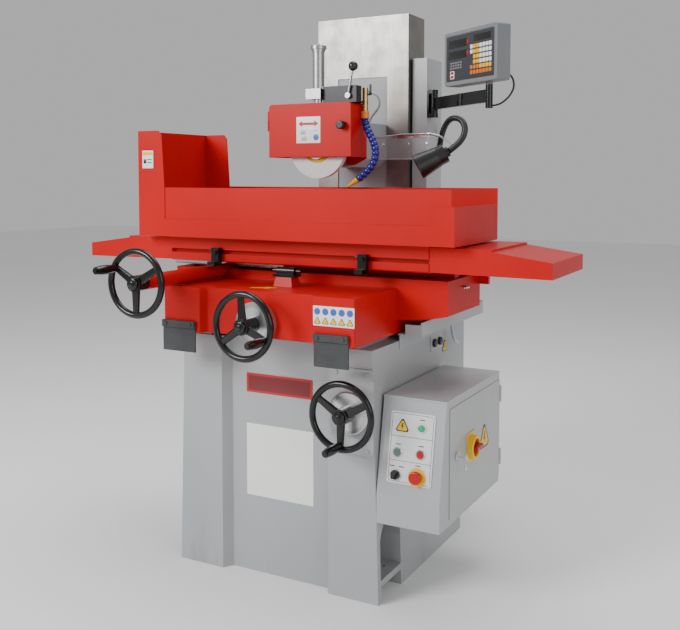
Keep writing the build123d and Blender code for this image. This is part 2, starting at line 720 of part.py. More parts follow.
with BuildPart() as electrical_box:
    with BuildSketch(Plane.YZ.offset(box_left)):
        outline(box_profile(0))
    extrude(amount=box_right - box_left)
    block((box_left, box_right + 1), (box_slope_run - 3, box_depth + 1), (box_top - 1, box_top + 4))
    with BuildSketch(Plane.YZ.offset(box_left + sheet)):
        outline(box_profile(sheet))
    extrude(amount=box_right - box_left - 2 * sheet, mode=Mode.SUBTRACT)
    block((box_right - sheet - 1, box_right + 1), (door_y[0] + 20, door_y[1] - 14),
          (door_z[0] + 16, door_z[1] - 16), Mode.SUBTRACT)
    with BuildSketch(control_plane.offset(-5)):
        with Locations(*button_places, selector_place):
            Circle(button_radius + 3)
    extrude(amount=6, mode=Mode.SUBTRACT)
    for z in knuckles:
        rod((hinge_x, back(hinge_y), z + 30.3), (0, 0, 1), knuckle_radius, 20)
        block((box_right - sheet, hinge_x), (door_y[1] + 0.4, hinge_y), (z + 30.3, z + 50.3))
save(electrical_box.part, "electrical_box")

# ---- control panel: plate with bezels, emergency-stop ring and pilot lamp ----
panel_thickness = 3.0
with BuildPart() as control_panel:
    with BuildSketch(control_plane):
        RectangleRounded(132, 194, 6)
    extrude(amount=panel_thickness)
    with BuildSketch(control_plane.offset(panel_thickness)):
        with Locations(start_place, stop_place, pilot_place):
            Circle(button_radius + 4.5)
    extrude(amount=3)
    with BuildSketch(control_plane.offset(panel_thickness)):
        with Locations(estop_place):
            Circle(24)
    extrude(amount=1.5)
    with BuildSketch(control_plane.offset(panel_thickness + 3)):
        with Locations(pilot_place):
            Circle(button_radius)
    extrude(amount=5, taper=15)
    with BuildSketch(control_plane.offset(-1)):
        with Locations(*button_places):
            Circle(button_radius + button_gap)
        with Locations(selector_place):
            Circle(button_radius + running)
    extrude(amount=20, mode=Mode.SUBTRACT)
save(control_panel.part, "control_panel")

# ---- controls: start, stop, emergency stop and selector ----
for label, place in (("start_button", start_place), ("stop_button", stop_place)):
    with BuildPart() as push_button:
        with BuildSketch(control_plane.offset(stem_bottom)):
            with Locations(place):
                Circle(button_radius)
        extrude(amount=9.5 - stem_bottom)
        chamfer(push_button.edges().filter_by(GeomType.CIRCLE).sort_by(Axis.Y)[0], 1)
    save(push_button.part, label)

with BuildPart() as estop_button:
    with BuildSketch(control_plane.offset(stem_bottom)):
        with Locations(estop_place):
            Circle(button_radius)
    extrude(amount=14 - stem_bottom)
    with BuildSketch(control_plane.offset(13)):
        with Locations(estop_place):
            Circle(18)
    extrude(amount=11)
    fillet(estop_button.edges().filter_by(GeomType.CIRCLE).sort_by(Axis.Y)[0], 5)
save(estop_button.part, "estop_button")

with BuildPart() as selector_knob:
    with BuildSketch(control_plane.offset(stem_bottom)):
        with Locations(selector_place):
            Circle(button_radius)
    extrude(amount=panel_thickness + 1 - stem_bottom)
    with BuildSketch(control_plane.offset(panel_thickness + 0.4)):
        with Locations(selector_place):
            Circle(13)
    extrude(amount=8)
    with BuildSketch(control_plane.offset(panel_thickness + 8)):
        with Locations(selector_place):
            SlotOverall(25, 8, rotation=60)
    extrude(amount=8)
save(selector_knob.part, "selector_knob")

# ---- box door with the main switch's plate, and the switch's knob ----
switch_y = 228.0
switch_z = 418.0
with BuildPart() as box_door:
    block((door_x, door_x + sheet), door_y, door_z)
    block((door_x + sheet - 0.2, door_x + 2 * sheet), (switch_y - 33, switch_y + 33),
          (switch_z - 43, switch_z + 43))
    for z in knuckles:
        rod((hinge_x, back(hinge_y), z), (0, 0, 1), knuckle_radius, 30)
        block((door_x, door_x + sheet), (door_y[1] - 1, hinge_y), (z, z + 30))
    rod((door_x + sheet, back(116), 420), (1, 0, 0), 11, 6)
    rod((door_x - 2, back(switch_y), switch_z), (1, 0, 0), 6 + running, 8, Mode.SUBTRACT)
save(box_door.part, "box_door")

knob_face = door_x + 2 * sheet + 0.3
with BuildPart() as main_switch_knob:
    rod((door_x - 1, back(switch_y), switch_z), (1, 0, 0), 6, knob_face - door_x + 2)
    rod((knob_face, back(switch_y), switch_z), (1, 0, 0), 22, 12)
    block((knob_face + 11, knob_face + 30), (switch_y - 24, switch_y + 24), (switch_z - 8, switch_z + 8))
    fillet(main_switch_knob.edges().filter_by(Axis.Y).group_by(Axis.X)[-1], 4)
save(main_switch_knob.part, "main_switch_knob")

# ---- column: casting with vertical ways, stainless way cover, scale cover ----
way_cover_depth = 135.0
scale_x = (177.0, 229.0)
scale_y = (600.0, 730.0)
with BuildPart() as column_casting:
    block((-200, 200), (600, 862), (base_top, base_top + 30))
    block((-column_half, column_half), (column_front, column_rear), (base_top + 29, column_top))
    block((-60, 60), (column_front - 1, 800), (base_top + 30, column_top + 1), Mode.SUBTRACT)
    block((-column_half + 22, column_half - 22), (798, column_rear - 20), (base_top + 60, column_top - 30),
          Mode.SUBTRACT)
    block((-61, 61), (650, 720), (1500, 1530))
    rod((0, back(screw_y), base_top - 1), (0, 0, 1), feed_screw_radius + running, 40, Mode.SUBTRACT)
    rod((0, back(screw_y), 1490), (0, 0, 1), feed_screw_radius + running, 50, Mode.SUBTRACT)
save(column_casting.part, "column_casting")

with BuildPart() as column_cover:
    block((-cover_half, cover_half), (cover_front, cover_front + way_cover_depth), (750, cover_top))
    block((-cover_half + sheet, cover_half - sheet),
          (cover_front + sheet, cover_front + way_cover_depth + 1), (749, cover_top - sheet), Mode.SUBTRACT)
    block((-slot_half, slot_half), (cover_front - 1, cover_front + sheet + 1), (slot_bottom, slot_top),
          Mode.SUBTRACT)
    # lugs that carry the cover on the column's sides
    for side in (-1, 1):
        span = tuple(sorted((side * column_half, side * (cover_half - 1))))
        for z in (820, 1500):
            block(span, (cover_front + way_cover_depth - 40, cover_front + way_cover_depth - 10), (z, z + 8))
save(column_cover.part, "column_cover")

with BuildPart() as scale_cover:
    block(scale_x, scale_y, (760, column_top))
    block((scale_x[0] + 3, scale_x[1] - 3), (scale_y[0] + 3, scale_y[1] + 1), (759, column_top - 3),
          Mode.SUBTRACT)
    for z in (860, 1200, 1540):
        block((cover_half, scale_x[0] + 1), (scale_y[0] + 20, scale_y[0] + 50), (z, z + 20))
save(scale_cover.part, "scale_cover")

# ---- head casting: spindle housing, slot plate, slide on the column and screw nut ----
housing_half = 91.0
housing_z = (1226.0, 1370.0)
housing_front_y = 348.0
slide_y = (602.0, column_front - slide_gap)
motor_y = (392.0, 512.0)
motor_radius = 56.0
bearing_radius = 31.0
bearing_starts = (362.0, 514.0)
bearing_width = 20.0
slot_plate_z = (950.0, 1583.0)
with BuildPart() as head_casting:
    block((-housing_half, housing_half), (housing_front_y, slide_y[0] + 1), housing_z)
    chamfer(head_casting.edges().filter_by(Axis.Y).group_by(Axis.Z)[0], 26)
    block((-148, 148), slide_y, (1170, 1440))
    block((-slot_half - 12, slot_half + 12), (cover_front + 4, cover_front + 4 + sheet), slot_plate_z)
    block((-38, 38), (slide_y[1] - 1, 725), (1240, 1300))
    rod((0, back(screw_y), 1239), (0, 0, 1), feed_screw_radius + running, 62, Mode.SUBTRACT)
    rod((0, back(motor_y[0]), spindle_z), (0, 1, 0), motor_radius + seat, motor_y[1] - motor_y[0],
        Mode.SUBTRACT)
    rod((0, back(352), spindle_z), (0, 1, 0), bearing_radius + seat, 190, Mode.SUBTRACT)
    rod((0, back(housing_front_y - 1), spindle_z), (0, 1, 0), 24, 6, Mode.SUBTRACT)
save(head_casting.part, "head_casting")

with BuildPart() as motor_and_bearings:
    rod((0, back(motor_y[0] + 4), spindle_z), (0, 1, 0), motor_radius, motor_y[1] - motor_y[0] - 8)
    rod((0, back(motor_y[0] + 3), spindle_z), (0, 1, 0), 32, motor_y[1] - motor_y[0] - 6, Mode.SUBTRACT)
    for start in bearing_starts:
        rod((0, back(start), spindle_z), (0, 1, 0), bearing_radius, bearing_width)
        rod((0, back(start - 1), spindle_z), (0, 1, 0), spindle_radius + running, bearing_width + 2,
            Mode.SUBTRACT)
save(motor_and_bearings.part, "motor_and_bearings")

# ---- spindle: shaft with motor rotor, wheel flanges and nut ----
flange_radius = 40.0
wheel_back = wheel_front + wheel_thickness
with BuildPart() as spindle:
    rod((0, back(wheel_front - 16), spindle_z), (0, 1, 0), spindle_radius, 290)
    rod((0, back(motor_y[0] + 8), spindle_z), (0, 1, 0), 30, motor_y[1] - motor_y[0] - 16)
    rod((0, back(wheel_back), spindle_z), (0, 1, 0), flange_radius, 10)
    rod((0, back(wheel_front - 8), spindle_z), (0, 1, 0), flange_radius, 8)
    with BuildSketch(facing(wheel_front - 17)):
        with Locations((0, spindle_z)):
            RegularPolygon(22, 6)
    extrude(amount=-10)
save(spindle.part, "spindle")

with BuildPart() as grinding_wheel:
    rod((0, back(wheel_front), spindle_z), (0, 1, 0), wheel_outer, wheel_thickness)
    rod((0, back(wheel_front - 1), spindle_z), (0, 1, 0), spindle_radius + seat, wheel_thickness + 2,
        Mode.SUBTRACT)
save(grinding_wheel.part, "grinding_wheel")

# ---- wheel guard: open-bottomed hood bolted to the spindle housing, with a hinged front ----
hood_x = (-165.0, 131.0)
hood_z = (1256.0, 1424.0)
hood_front = 246.0
hood_sheet = 3.0
cover_y_front = 240.0
cover_gap = 0.4
hood_hinge_x = hood_x[0] - 4
knob_x = 103.0
knob_z = 1353.0
with BuildPart() as wheel_guard:
    block(hood_x, (hood_front, housing_front_y), (hood_z[0], hood_z[1]))
    fillet(wheel_guard.edges().filter_by(Axis.Y).group_by(Axis.Z)[-1], 12)
    block((hood_x[0] + hood_sheet, hood_x[1] - hood_sheet), (hood_front - 1, housing_front_y - hood_sheet),
          (hood_z[0] - 1, hood_z[1] - hood_sheet), Mode.SUBTRACT)
    # lower lip of the back plate on the right, under the wheel's centre
    with BuildSketch(facing(housing_front_y - hood_sheet)):
        outline([
            (60, hood_z[0] + 1), (60, 1232), (90, 1232), (hood_x[1], 1252), (hood_x[1], hood_z[0] + 1),
        ])
    extrude(amount=-hood_sheet)
    rod((0, back(housing_front_y - hood_sheet - 1), spindle_z), (0, 1, 0), 27, 6, Mode.SUBTRACT)
    rod((hood_hinge_x, back(hood_front), 1340), (0, 0, 1), 4, 31.7)
    block((hood_hinge_x, hood_x[0] + 1), (hood_front, hood_front + 4), (1340, 1371.7))
save(wheel_guard.part, "wheel_guard")

with BuildPart() as guard_cover:
    block(hood_x, (cover_y_front, hood_front - cover_gap), hood_z)
    fillet(guard_cover.edges().filter_by(Axis.Y).group_by(Axis.Z)[-1], 12)
    fillet(guard_cover.edges().group_by(Axis.Y)[0], 2)
    block((hood_x[0] + hood_sheet, hood_x[1] - hood_sheet), (cover_y_front + hood_sheet, hood_front),
          (hood_z[0] - 1, hood_z[1] - hood_sheet), Mode.SUBTRACT)
    rod((hood_hinge_x, back(hood_front), 1372), (0, 0, 1), 4, 31)
    block((hood_hinge_x, hood_x[0] + 1), (hood_front - 4, hood_front - cover_gap), (1372, 1403))
    rod((knob_x, back(cover_y_front - 1), knob_z), (0, 1, 0), 4 + running, 10, Mode.SUBTRACT)
save(guard_cover.part, "guard_cover")

with BuildPart() as guard_knob:
    rod((knob_x, back(cover_y_front - 24), knob_z), (0, 1, 0), 13, 20)
    fillet(guard_knob.edges().filter_by(GeomType.CIRCLE), 4)
    rod((knob_x, back(cover_y_front - 6), knob_z), (0, 1, 0), 4, 10)
save(guard_knob.part, "guard_knob")

# ---- dresser: clamp block, feed barrel and slide body on the hood, with its hand lever ----
dresser_y = wheel_front + wheel_thickness / 2
lever_pivot = (112, back(252), 1444)
with BuildPart() as dresser_block:
    block((-33, 20), (dresser_y - 24, dresser_y + 24), (hood_z[1] + 13, hood_z[1] + 45))
    block((19, 138), (dresser_y - 10, dresser_y + 24), (hood_z[1], hood_z[1] + 51))
    rod((0, back(dresser_y), hood_z[1]), (0, 0, 1), 14, 14)
    rod((0, back(dresser_y), hood_z[1] + 40), (0, 0, 1), 18.5, 128)
    rod((0, back(dresser_y), hood_z[1] + 160), (0, 0, 1), 21, 12)
    rod((0, back(dresser_y), hood_z[1] + 168), (0, 0, 1), 25, 11)
    rod((0, back(dresser_y), hood_z[1] + 178), (0, 0, 1), 5, 7)
save(dresser_block.part, "dresser_block")

with BuildPart() as dresser_lever:
    rod(lever_pivot, (0, 1, 0), 9, dresser_y - 10 - 252 - 0.4)
    lever_direction = Vector(0.2, 0, 0.98)
    lever_root = Vector(*lever_pivot) + Vector(0, 4, 0)
    rod(tuple(lever_root), tuple(lever_direction), 4, 80)
    with Locations(tuple(lever_root + lever_direction * 90)):
        Sphere(15)
save(dresser_lever.part, "dresser_lever")

# ---- coolant: tap on a bracket, its lever, jointed hose with nozzle, supply tube ----
tap_x = 143.0
tap_y = 312.0
tap_z = (1384.0, 1470.0)
hose_radius = 10.5
with BuildPart() as coolant_fittings:
    block((hood_x[1] - 12, tap_x + 4), (tap_y - 14, tap_y + 14), (hood_z[1], hood_z[1] + 5))
    rod((tap_x, back(tap_y), tap_z[0]), (0, 0, 1), 9, tap_z[1] - tap_z[0])
    rod((tap_x, back(tap_y), tap_z[0]), (0, 0, 1), 11.8, 14)
    rod((tap_x, back(tap_y), 1452), (1, 0, 0), 6, 14)
    rod((tap_x, back(tap_y), 1460), (0, 1, 0), 6, 14)
    nozzle_root = Vector(147, back(256), 1187)
    nozzle_tip = Vector(113, back(253), 1165)
    nozzle_axis = (nozzle_tip - nozzle_root).normalized()
    with Locations(Plane(origin=nozzle_root, z_dir=nozzle_axis)):
        Cone(10, 3.5, (nozzle_tip - nozzle_root).length, align=(Align.CENTER, Align.CENTER, Align.MIN))
save(coolant_fittings.part, "coolant_fittings")

with BuildPart() as tap_handle:
    rod((tap_x + 14.4, back(tap_y), 1452), (1, 0, 0), 6, 6)
    block((tap_x + 16, tap_x + 20.4), (tap_y - 3.5, tap_y + 3.5), (1449, 1480))
save(tap_handle.part, "tap_handle")


def tube(route, radius):
    """Round tube along a route of points whose corners are arcs as large as the runs allow."""
    points = [Vector(*point) for point in route]
    radii = []
    for before, corner, after in zip(points, points[1:], points[2:]):
        turn = (corner - before).get_angle(after - corner)
        run = min((corner - before).length, (after - corner).length)
        radii.append(0.45 * run / tan(radians(turn / 2)))
    print("corner radii", [round(value) for value in radii], "of a tube of radius", radius)
    with BuildPart() as pipe:
        with BuildLine() as path:
            FilletPolyline(*points, radius=radii)
        centre_line = path.wire()
        with BuildSketch(Plane(origin=centre_line @ 0, z_dir=centre_line % 0)):
            Circle(radius)
        sweep(path=centre_line)
    print("length", round(centre_line.length), "volume ratio",
          round(pipe.part.volume / (pi * radius ** 2 * centre_line.length), 3))
    return pipe.part


def route(*points):
    """Route points with their Y counted back from the base's front face."""
    return [(x, back(y), z) for x, y, z in points]


coolant_route = route(
    (143, 312, 1384), (145, 309, 1358), (162, 302, 1330), (181, 295, 1302), (193, 288, 1272),
    (192, 279, 1242), (177, 267, 1212), (147, 256, 1187),
)
save(tube(coolant_route, hose_radius), "coolant_hose")
supply_radius = 3.5
supply_route = route(
    (143, 326, 1460), (148, 340, 1459), (164, 354, 1450), (166, 374, 1431), (151, 392, 1411),
    (127, 404, 1394), (110, 412, 1376), (102, 416, 1362),
)
save(tube(supply_route, supply_radius), "supply_tube")

# ---- eye shield: clear bent panel under a steel rod, carried by the head ----
shield_plan = [(108, 474), (240, 462), (300, 451), (322, 462)]
shield_z = (1250.0, 1326.0)
with BuildPart() as eye_shield:
    for (x0, y0), (x1, y1) in zip(shield_plan, shield_plan[1:]):
        along = Vector(x1 - x0, y1 - y0, 0)
        middle_point = ((x0 + x1) / 2, back((y0 + y1) / 2), shield_z[0])
        with BuildSketch(Plane(origin=middle_point, x_dir=along.normalized(), z_dir=(0, 0, 1))):
            Rectangle(along.length + 1, 3)
        extrude(amount=shield_z[1] - shield_z[0])
    with BuildLine() as rod_path:
        FilletPolyline(*route((housing_half, 478, 1322), (200, 466, 1330), (300, 451, 1331),
                              (334, 462, 1322), (371, 480, 1291)), radius=14)
    with BuildSketch(Plane(origin=rod_path.wire() @ 0, z_dir=rod_path.wire() % 0)):
        Circle(3.5)
    sweep(path=rod_path.wire())
save(eye_shield.part, "eye_shield")

# ---- lamp: flexible neck on the scale cover's side and a stepped conical head ----
neck_route = route(
    (scale_x[1], 690, 1266), (240, 688, 1290), (249, 680, 1332), (276, 650, 1372), (318, 604, 1390),
    (368, 552, 1381), (403, 500, 1352), (414, 455, 1318), (405, 418, 1291), (389, 392, 1273),
)
save(tube(neck_route, 10), "lamp_neck")
lamp_back = Vector(389, back(392), 1273)
lamp_front = Vector(304, back(352), 1224)
lamp_axis = (lamp_front - lamp_back).normalized()
with BuildPart() as lamp_head:
    with Locations(Plane(origin=lamp_back, z_dir=lamp_axis)):
        Cylinder(16, 12, align=(Align.CENTER, Align.CENTER, Align.MIN))
    with Locations(Plane(origin=lamp_back + lamp_axis * 11, z_dir=lamp_axis)):
        Cylinder(30, 26, align=(Align.CENTER, Align.CENTER, Align.MIN))
    with Locations(Plane(origin=lamp_back + lamp_axis * 36, z_dir=lamp_axis)):
        Cone(31, 40, 70, align=(Align.CENTER, Align.CENTER, Align.MIN))
    with Locations(Plane(origin=lamp_back + lamp_axis * 46, z_dir=lamp_axis)):
        Cone(28, 37.5, 61, align=(Align.CENTER, Align.CENTER, Align.MIN), mode=Mode.SUBTRACT)
save(lamp_head.part, "lamp_head")

# ---- read-out: bracket on the scale cover, two-part arm and swivelling display ----
arm_root = (248.0, 616.0)
arm_elbow = (390.0, 500.0)
arm_end = (514.0, 400.0)
arm_drop = 172.0             # lower edge of the arm below the column's top
arm_z = (column_top - arm_drop, column_top - arm_drop + 39)
arm_middle = (arm_z[0] + arm_z[1]) / 2
arm_thickness = 14.0
pin_radius = 6.0
ear_z = (arm_z[0] - 26, arm_z[1] + 27)
with BuildPart() as dro_bracket:
    block((scale_x[1], scale_x[1] + 6), (601, 640), ear_z)
    for z in (ear_z[0], ear_z[1] - 12):
        block((scale_x[1], arm_root[0]), (602, 630), (z, z + 12))
        rod((arm_root[0], back(arm_root[1]), z), (0, 0, 1), 14, 12)
    rod((arm_root[0], back(arm_root[1]), ear_z[0]), (0, 0, 1), pin_radius, ear_z[1] - ear_z[0])
save(dro_bracket.part, "dro_bracket")


def arm_bar(start, end, z_range):
    """Flat bar of the arm between two joints in the current part."""
    along = Vector(end[0] - start[0], end[1] - start[1], 0)
    centre = ((start[0] + end[0]) / 2, back((start[1] + end[1]) / 2), sum(z_range) / 2)
    with Locations(Plane(origin=centre, x_dir=along.normalized(), z_dir=(0, 0, 1))):
        Box(along.length, arm_thickness, z_range[1] - z_range[0])


def joint_hub(place, z_range, radius=13.0, mode=Mode.ADD):
    """Round hub or bore of an arm joint in the current part."""
    rod((place[0], back(place[1]), z_range[0]), (0, 0, 1), radius, z_range[1] - z_range[0], mode)


def between(start, end, share):
    """Point between two plan points, as a share of the way from the first."""
    return (start[0] + (end[0] - start[0]) * share, start[1] + (end[1] - start[1]) * share)


elbow_reach = 0.9
with BuildPart() as dro_arm:
    joint_hub(arm_root, (ear_z[0] + 12 + slide_gap, ear_z[1] - 12 - slide_gap))
    arm_bar(arm_root, between(arm_root, arm_elbow, elbow_reach), arm_z)
    arm_bar(between(arm_root, arm_elbow, 0.8), arm_elbow, (arm_middle + slide_gap, arm_z[1]))
    joint_hub(arm_elbow, (arm_middle + slide_gap, arm_z[1]))
    joint_hub(arm_elbow, (arm_z[0], arm_z[1]), pin_radius)
    joint_hub(arm_root, (ear_z[0], ear_z[1]), pin_radius + running, Mode.SUBTRACT)
save(dro_arm.part, "dro_arm")

post_top = arm_z[1] + 13
stem_z = (arm_z[1] - 15, arm_z[1] + 21)
with BuildPart() as dro_outer_arm:
    arm_bar(between(arm_elbow, arm_end, 0.11), arm_end, arm_z)
    arm_bar(arm_elbow, between(arm_elbow, arm_end, 0.15), (arm_z[0], arm_middle))
    joint_hub(arm_elbow, (arm_z[0], arm_middle))
    joint_hub(arm_elbow, (arm_z[0] - 1, arm_middle + 1), pin_radius + running, Mode.SUBTRACT)
    joint_hub(arm_end, (arm_z[0] - 18, post_top), 11)
    joint_hub(arm_end, (stem_z[0] - 1, post_top + 1), pin_radius + running, Mode.SUBTRACT)
    # room for the elbow hub of the inner arm
    joint_hub(arm_elbow, (arm_middle, arm_z[1] + 1), 13.6, Mode.SUBTRACT)
save(dro_outer_arm.part, "dro_outer_arm")

dro_width = 268.0
dro_height = 166.0
dro_depth = 50.0
dro_turn = radians(-34.3)
dro_plane = Plane(
    origin=(450.5, back(400), arm_z[1] + 103), x_dir=(cos(dro_turn), sin(dro_turn), 0),
    z_dir=(sin(dro_turn), -cos(dro_turn), 0),
)
gland_place = (100, -60)
with BuildPart() as dro_housing:
    with BuildSketch(dro_plane):
        RectangleRounded(dro_width, dro_height, 10)
    extrude(amount=-dro_depth)
    fillet(dro_housing.faces().sort_by(Axis((0, 0, 0), dro_plane.z_dir))[-1].edges(), 3)
    with BuildSketch(dro_plane):
        RectangleRounded(dro_width - 22, dro_height - 24, 6)
    extrude(amount=-2.5, mode=Mode.SUBTRACT)
    with BuildSketch(dro_plane.offset(-dro_depth)):
        with Locations(gland_place):
            Circle(8)
    extrude(amount=-8)
    joint_hub(arm_end, stem_z, pin_radius)
    joint_hub(arm_end, (post_top + slide_gap, stem_z[1]), 11)
save(dro_housing.part, "dro_housing")

gland = dro_plane.offset(-dro_depth - 8).from_local_coords((gland_place[0], gland_place[1], 0))
gland_point = (gland.X, gland.Y - base_front, gland.Z)
cable_route = route(
    gland_point,
    (gland_point[0] + 9, gland_point[1] + 13, gland_point[2] - 1), (582, 418, 1486), (584, 423, 1462),
    (574, 418, 1438), (556, 410, 1418), (538, 404, 1409), (525.6, 401, 1408),
)
cable_radius = 3.0
save(tube(cable_route, cable_radius), "dro_cable")
drain_route = route((360, 495, tray_floor), (362, 503, 705), (361, 518, 677), (359, 544, 657), (356, 572, 650))
drain_radius = 5.0
save(tube(drain_route, drain_radius), "drain_hose")
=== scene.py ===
import math

import bpy
import numpy as np
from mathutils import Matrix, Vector


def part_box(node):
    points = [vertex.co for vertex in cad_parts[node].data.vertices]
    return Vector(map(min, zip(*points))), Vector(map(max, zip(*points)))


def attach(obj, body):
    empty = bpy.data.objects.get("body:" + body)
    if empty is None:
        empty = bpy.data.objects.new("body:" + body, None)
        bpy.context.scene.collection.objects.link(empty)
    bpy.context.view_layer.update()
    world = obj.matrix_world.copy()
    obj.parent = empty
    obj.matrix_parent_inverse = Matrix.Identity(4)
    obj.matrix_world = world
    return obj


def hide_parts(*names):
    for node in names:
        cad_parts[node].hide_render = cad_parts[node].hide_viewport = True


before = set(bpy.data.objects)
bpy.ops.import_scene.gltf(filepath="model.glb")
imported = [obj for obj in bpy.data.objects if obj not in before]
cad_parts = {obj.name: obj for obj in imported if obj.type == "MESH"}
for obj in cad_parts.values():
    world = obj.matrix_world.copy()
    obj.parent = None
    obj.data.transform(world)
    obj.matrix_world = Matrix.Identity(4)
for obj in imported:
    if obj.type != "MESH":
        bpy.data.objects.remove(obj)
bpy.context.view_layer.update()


# ==== base casting ====
# One large iron casting on the floor, rough-cast and filled, then sprayed in light grey enamel.
# Its pads, recess and arched bolt pockets are cast in; the shared tools for shading and meshes start here.
class Shade:
    """One socket of a material. Arithmetic on it, or on a number with it, adds Math nodes."""

    def __init__(self, tree, socket):
        self.tree, self.socket = tree, socket

    def node(self, kind, settings=None, sockets=None):
        """Any other node: settings first (a ramp's stops too), then the values or links of its sockets."""
        made = self.tree.nodes.new(kind)
        for key, value in (settings or {}).items():
            if key == "stops":
                ramp = made.color_ramp
                for place, colour in value[2:]:
                    ramp.elements.new(place)
                for element, (place, colour) in zip(ramp.elements, sorted(value)):
                    element.position, element.color = place, (*colour, 1)
            else:
                setattr(made, key, value)
        for key, value in (sockets or {}).items():
            self.plug(made.inputs[key], value)
        return made

    def plug(self, target, value):
        if isinstance(value, Shade):
            self.tree.links.new(value.socket, target)
        else:
            target.default_value = value

    def out(self, made, name=0):
        return Shade(self.tree, made.outputs[name])

    def math(self, operation, *values):
        made = self.node("ShaderNodeMath", {"operation": operation}, dict(enumerate(values)))
        return self.out(made)

    def __add__(self, other): return self.math("ADD", self, other)
    def __radd__(self, other): return self.math("ADD", other, self)
    def __sub__(self, other): return self.math("SUBTRACT", self, other)
    def __rsub__(self, other): return self.math("SUBTRACT", other, self)
    def __mul__(self, other): return self.math("MULTIPLY", self, other)
    def __rmul__(self, other): return self.math("MULTIPLY", other, self)
    def __truediv__(self, other): return self.math("DIVIDE", self, other)
    def __gt__(self, other): return self.math("GREATER_THAN", self, other)
    def __lt__(self, other): return self.math("LESS_THAN", self, other)

    def axis(self, name):
        return self.out(self.node("ShaderNodeSeparateXYZ", sockets={0: self}), name)

    def stretched(self, scale, centre=(0, 0, 0)):
        """The point less a centre, scaled by three numbers."""
        moved = self.out(self.node("ShaderNodeVectorMath", {"operation": "SUBTRACT"}, {0: self, 1: centre}))
        return self.out(self.node("ShaderNodeVectorMath", {"operation": "MULTIPLY"}, {0: moved, 1: scale}))

    def noise(self, scale, detail=3.0, roughness=0.5):
        return self.out(self.node("ShaderNodeTexNoise", sockets={
            "Vector": self, "Scale": scale, "Detail": detail, "Roughness": roughness}), "Fac")

    def blend(self, first, second):
        """Colour that goes from first to second as this value goes from 0 to 1."""
        made = self.node("ShaderNodeMix", {"data_type": "RGBA"})
        self.plug(made.inputs["Factor"], self)
        self.plug(made.inputs[6], first if isinstance(first, Shade) else (*first, 1))
        self.plug(made.inputs[7], second if isinstance(second, Shade) else (*second, 1))
        return self.out(made, 2)

    def between(self, low, high):
        """0 below low, 1 above high, smooth between."""
        made = self.node("ShaderNodeMapRange", {"interpolation_type": "SMOOTHSTEP"}, {
            "Value": self, "From Min": low, "From Max": high})
        return self.out(made)

    def bump(self, strength, distance):
        made = self.node("ShaderNodeBump", sockets={"Strength": strength, "Distance": distance, "Height": self})
        return self.out(made)


def finish(name):
    """A new material, its Principled shader, and the piece's own coordinates to shade by."""
    material = bpy.data.materials.new(name)
    material.use_nodes = True
    tree = material.node_tree
    shader = tree.nodes["Principled BSDF"]
    place = tree.nodes.new("ShaderNodeTexCoord")
    return material, shader, Shade(tree, place.outputs["Object"])


def enamel(name, colour, deep, peel, gloss, coat, grime):
    """Sprayed enamel: drifting shade, orange-peel bump, fine specks, and dust that gathers near the floor."""
    material, shader, p = finish(name)
    drift = p.noise(2.2, 4.0).between(0.3, 0.7)
    speck = p.noise(900.0, 1.0).between(0.70, 0.76)
    smear = p.stretched((9.0, 9.0, 2.0)).noise(1.0, 5.0, 0.65).between(0.52, 0.74)
    low = 1.0 - p.axis("Z").between(0.02, 0.22)
    dusty = (low * smear * grime).blend(drift.blend(colour, deep), (0.17, 0.16, 0.15))
    p.plug(shader.inputs["Base Color"], (speck * 0.10).blend(dusty, tuple(0.55 * c for c in colour)))
    p.plug(shader.inputs["Roughness"], gloss + 0.05 * smear + 0.05 * p.noise(26.0, 4.0))
    peel_height = p.noise(peel, 2.0) * 0.7 + p.noise(peel * 0.22, 2.0) * 0.6
    p.plug(shader.inputs["Normal"], peel_height.bump(0.20, 0.0006))
    shader.inputs["Coat Weight"].default_value = coat
    shader.inputs["Coat Roughness"].default_value = 0.12
    shader.inputs["Specular IOR Level"].default_value = 0.22
    return material


grey_enamel = enamel("grey_enamel", (0.37, 0.38, 0.39), (0.33, 0.34, 0.35), 330.0, 0.34, 0.25, 0.35)


def dress(material, *names):
    """Gives CAD nodes this finish in place of the plain one."""
    for name in names:
        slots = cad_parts[name].data.materials
        slots.clear()
        slots.append(material)


dress(grey_enamel, "base_casting", "elevating_flange")
base_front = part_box("base_casting")[0].y


def at(x, y, z):
    """Point in metres from millimetres, with y counted back from the base's front face."""
    return np.array([x / 1000, base_front + y / 1000, z / 1000])


def capped(rings):
    """Closed skin over equal rings of points, back ring first, each anticlockwise from the front."""
    rings = np.asarray(rings, float)
    count, around = rings.shape[:2]
    i, j = np.meshgrid(np.arange(count - 1), np.arange(around), indexing="ij")
    after = (j + 1) % around
    sides = np.stack([i * around + j, i * around + after, (i + 1) * around + after, (i + 1) * around + j], -1)
    caps = [list(range(around))[::-1], list(range((count - 1) * around, count * around))]
    return rings.reshape(-1, 3), sides.reshape(-1, 4).tolist() + caps


def piece(name, skins, material, body, sharp=34.0):
    """One object from several closed skins, smooth across edges flatter than sharp degrees."""
    points, faces, used = [], [], 0
    for skin_points, skin_faces in skins:
        points.append(skin_points)
        faces += [[index + used for index in face] for face in skin_faces]
        used += len(skin_points)
    mesh = bpy.data.meshes.new(name)
    mesh.from_pydata(np.concatenate(points).tolist(), [], faces)
    mesh.shade_smooth()
    mesh.set_sharp_from_angle(angle=math.radians(sharp))
    mesh.materials.append(material)
    made = bpy.data.objects.new(name, mesh)
    bpy.context.scene.collection.objects.link(made)
    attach(made, body)
    return made


RIGHT, BACK, UP = np.eye(3)


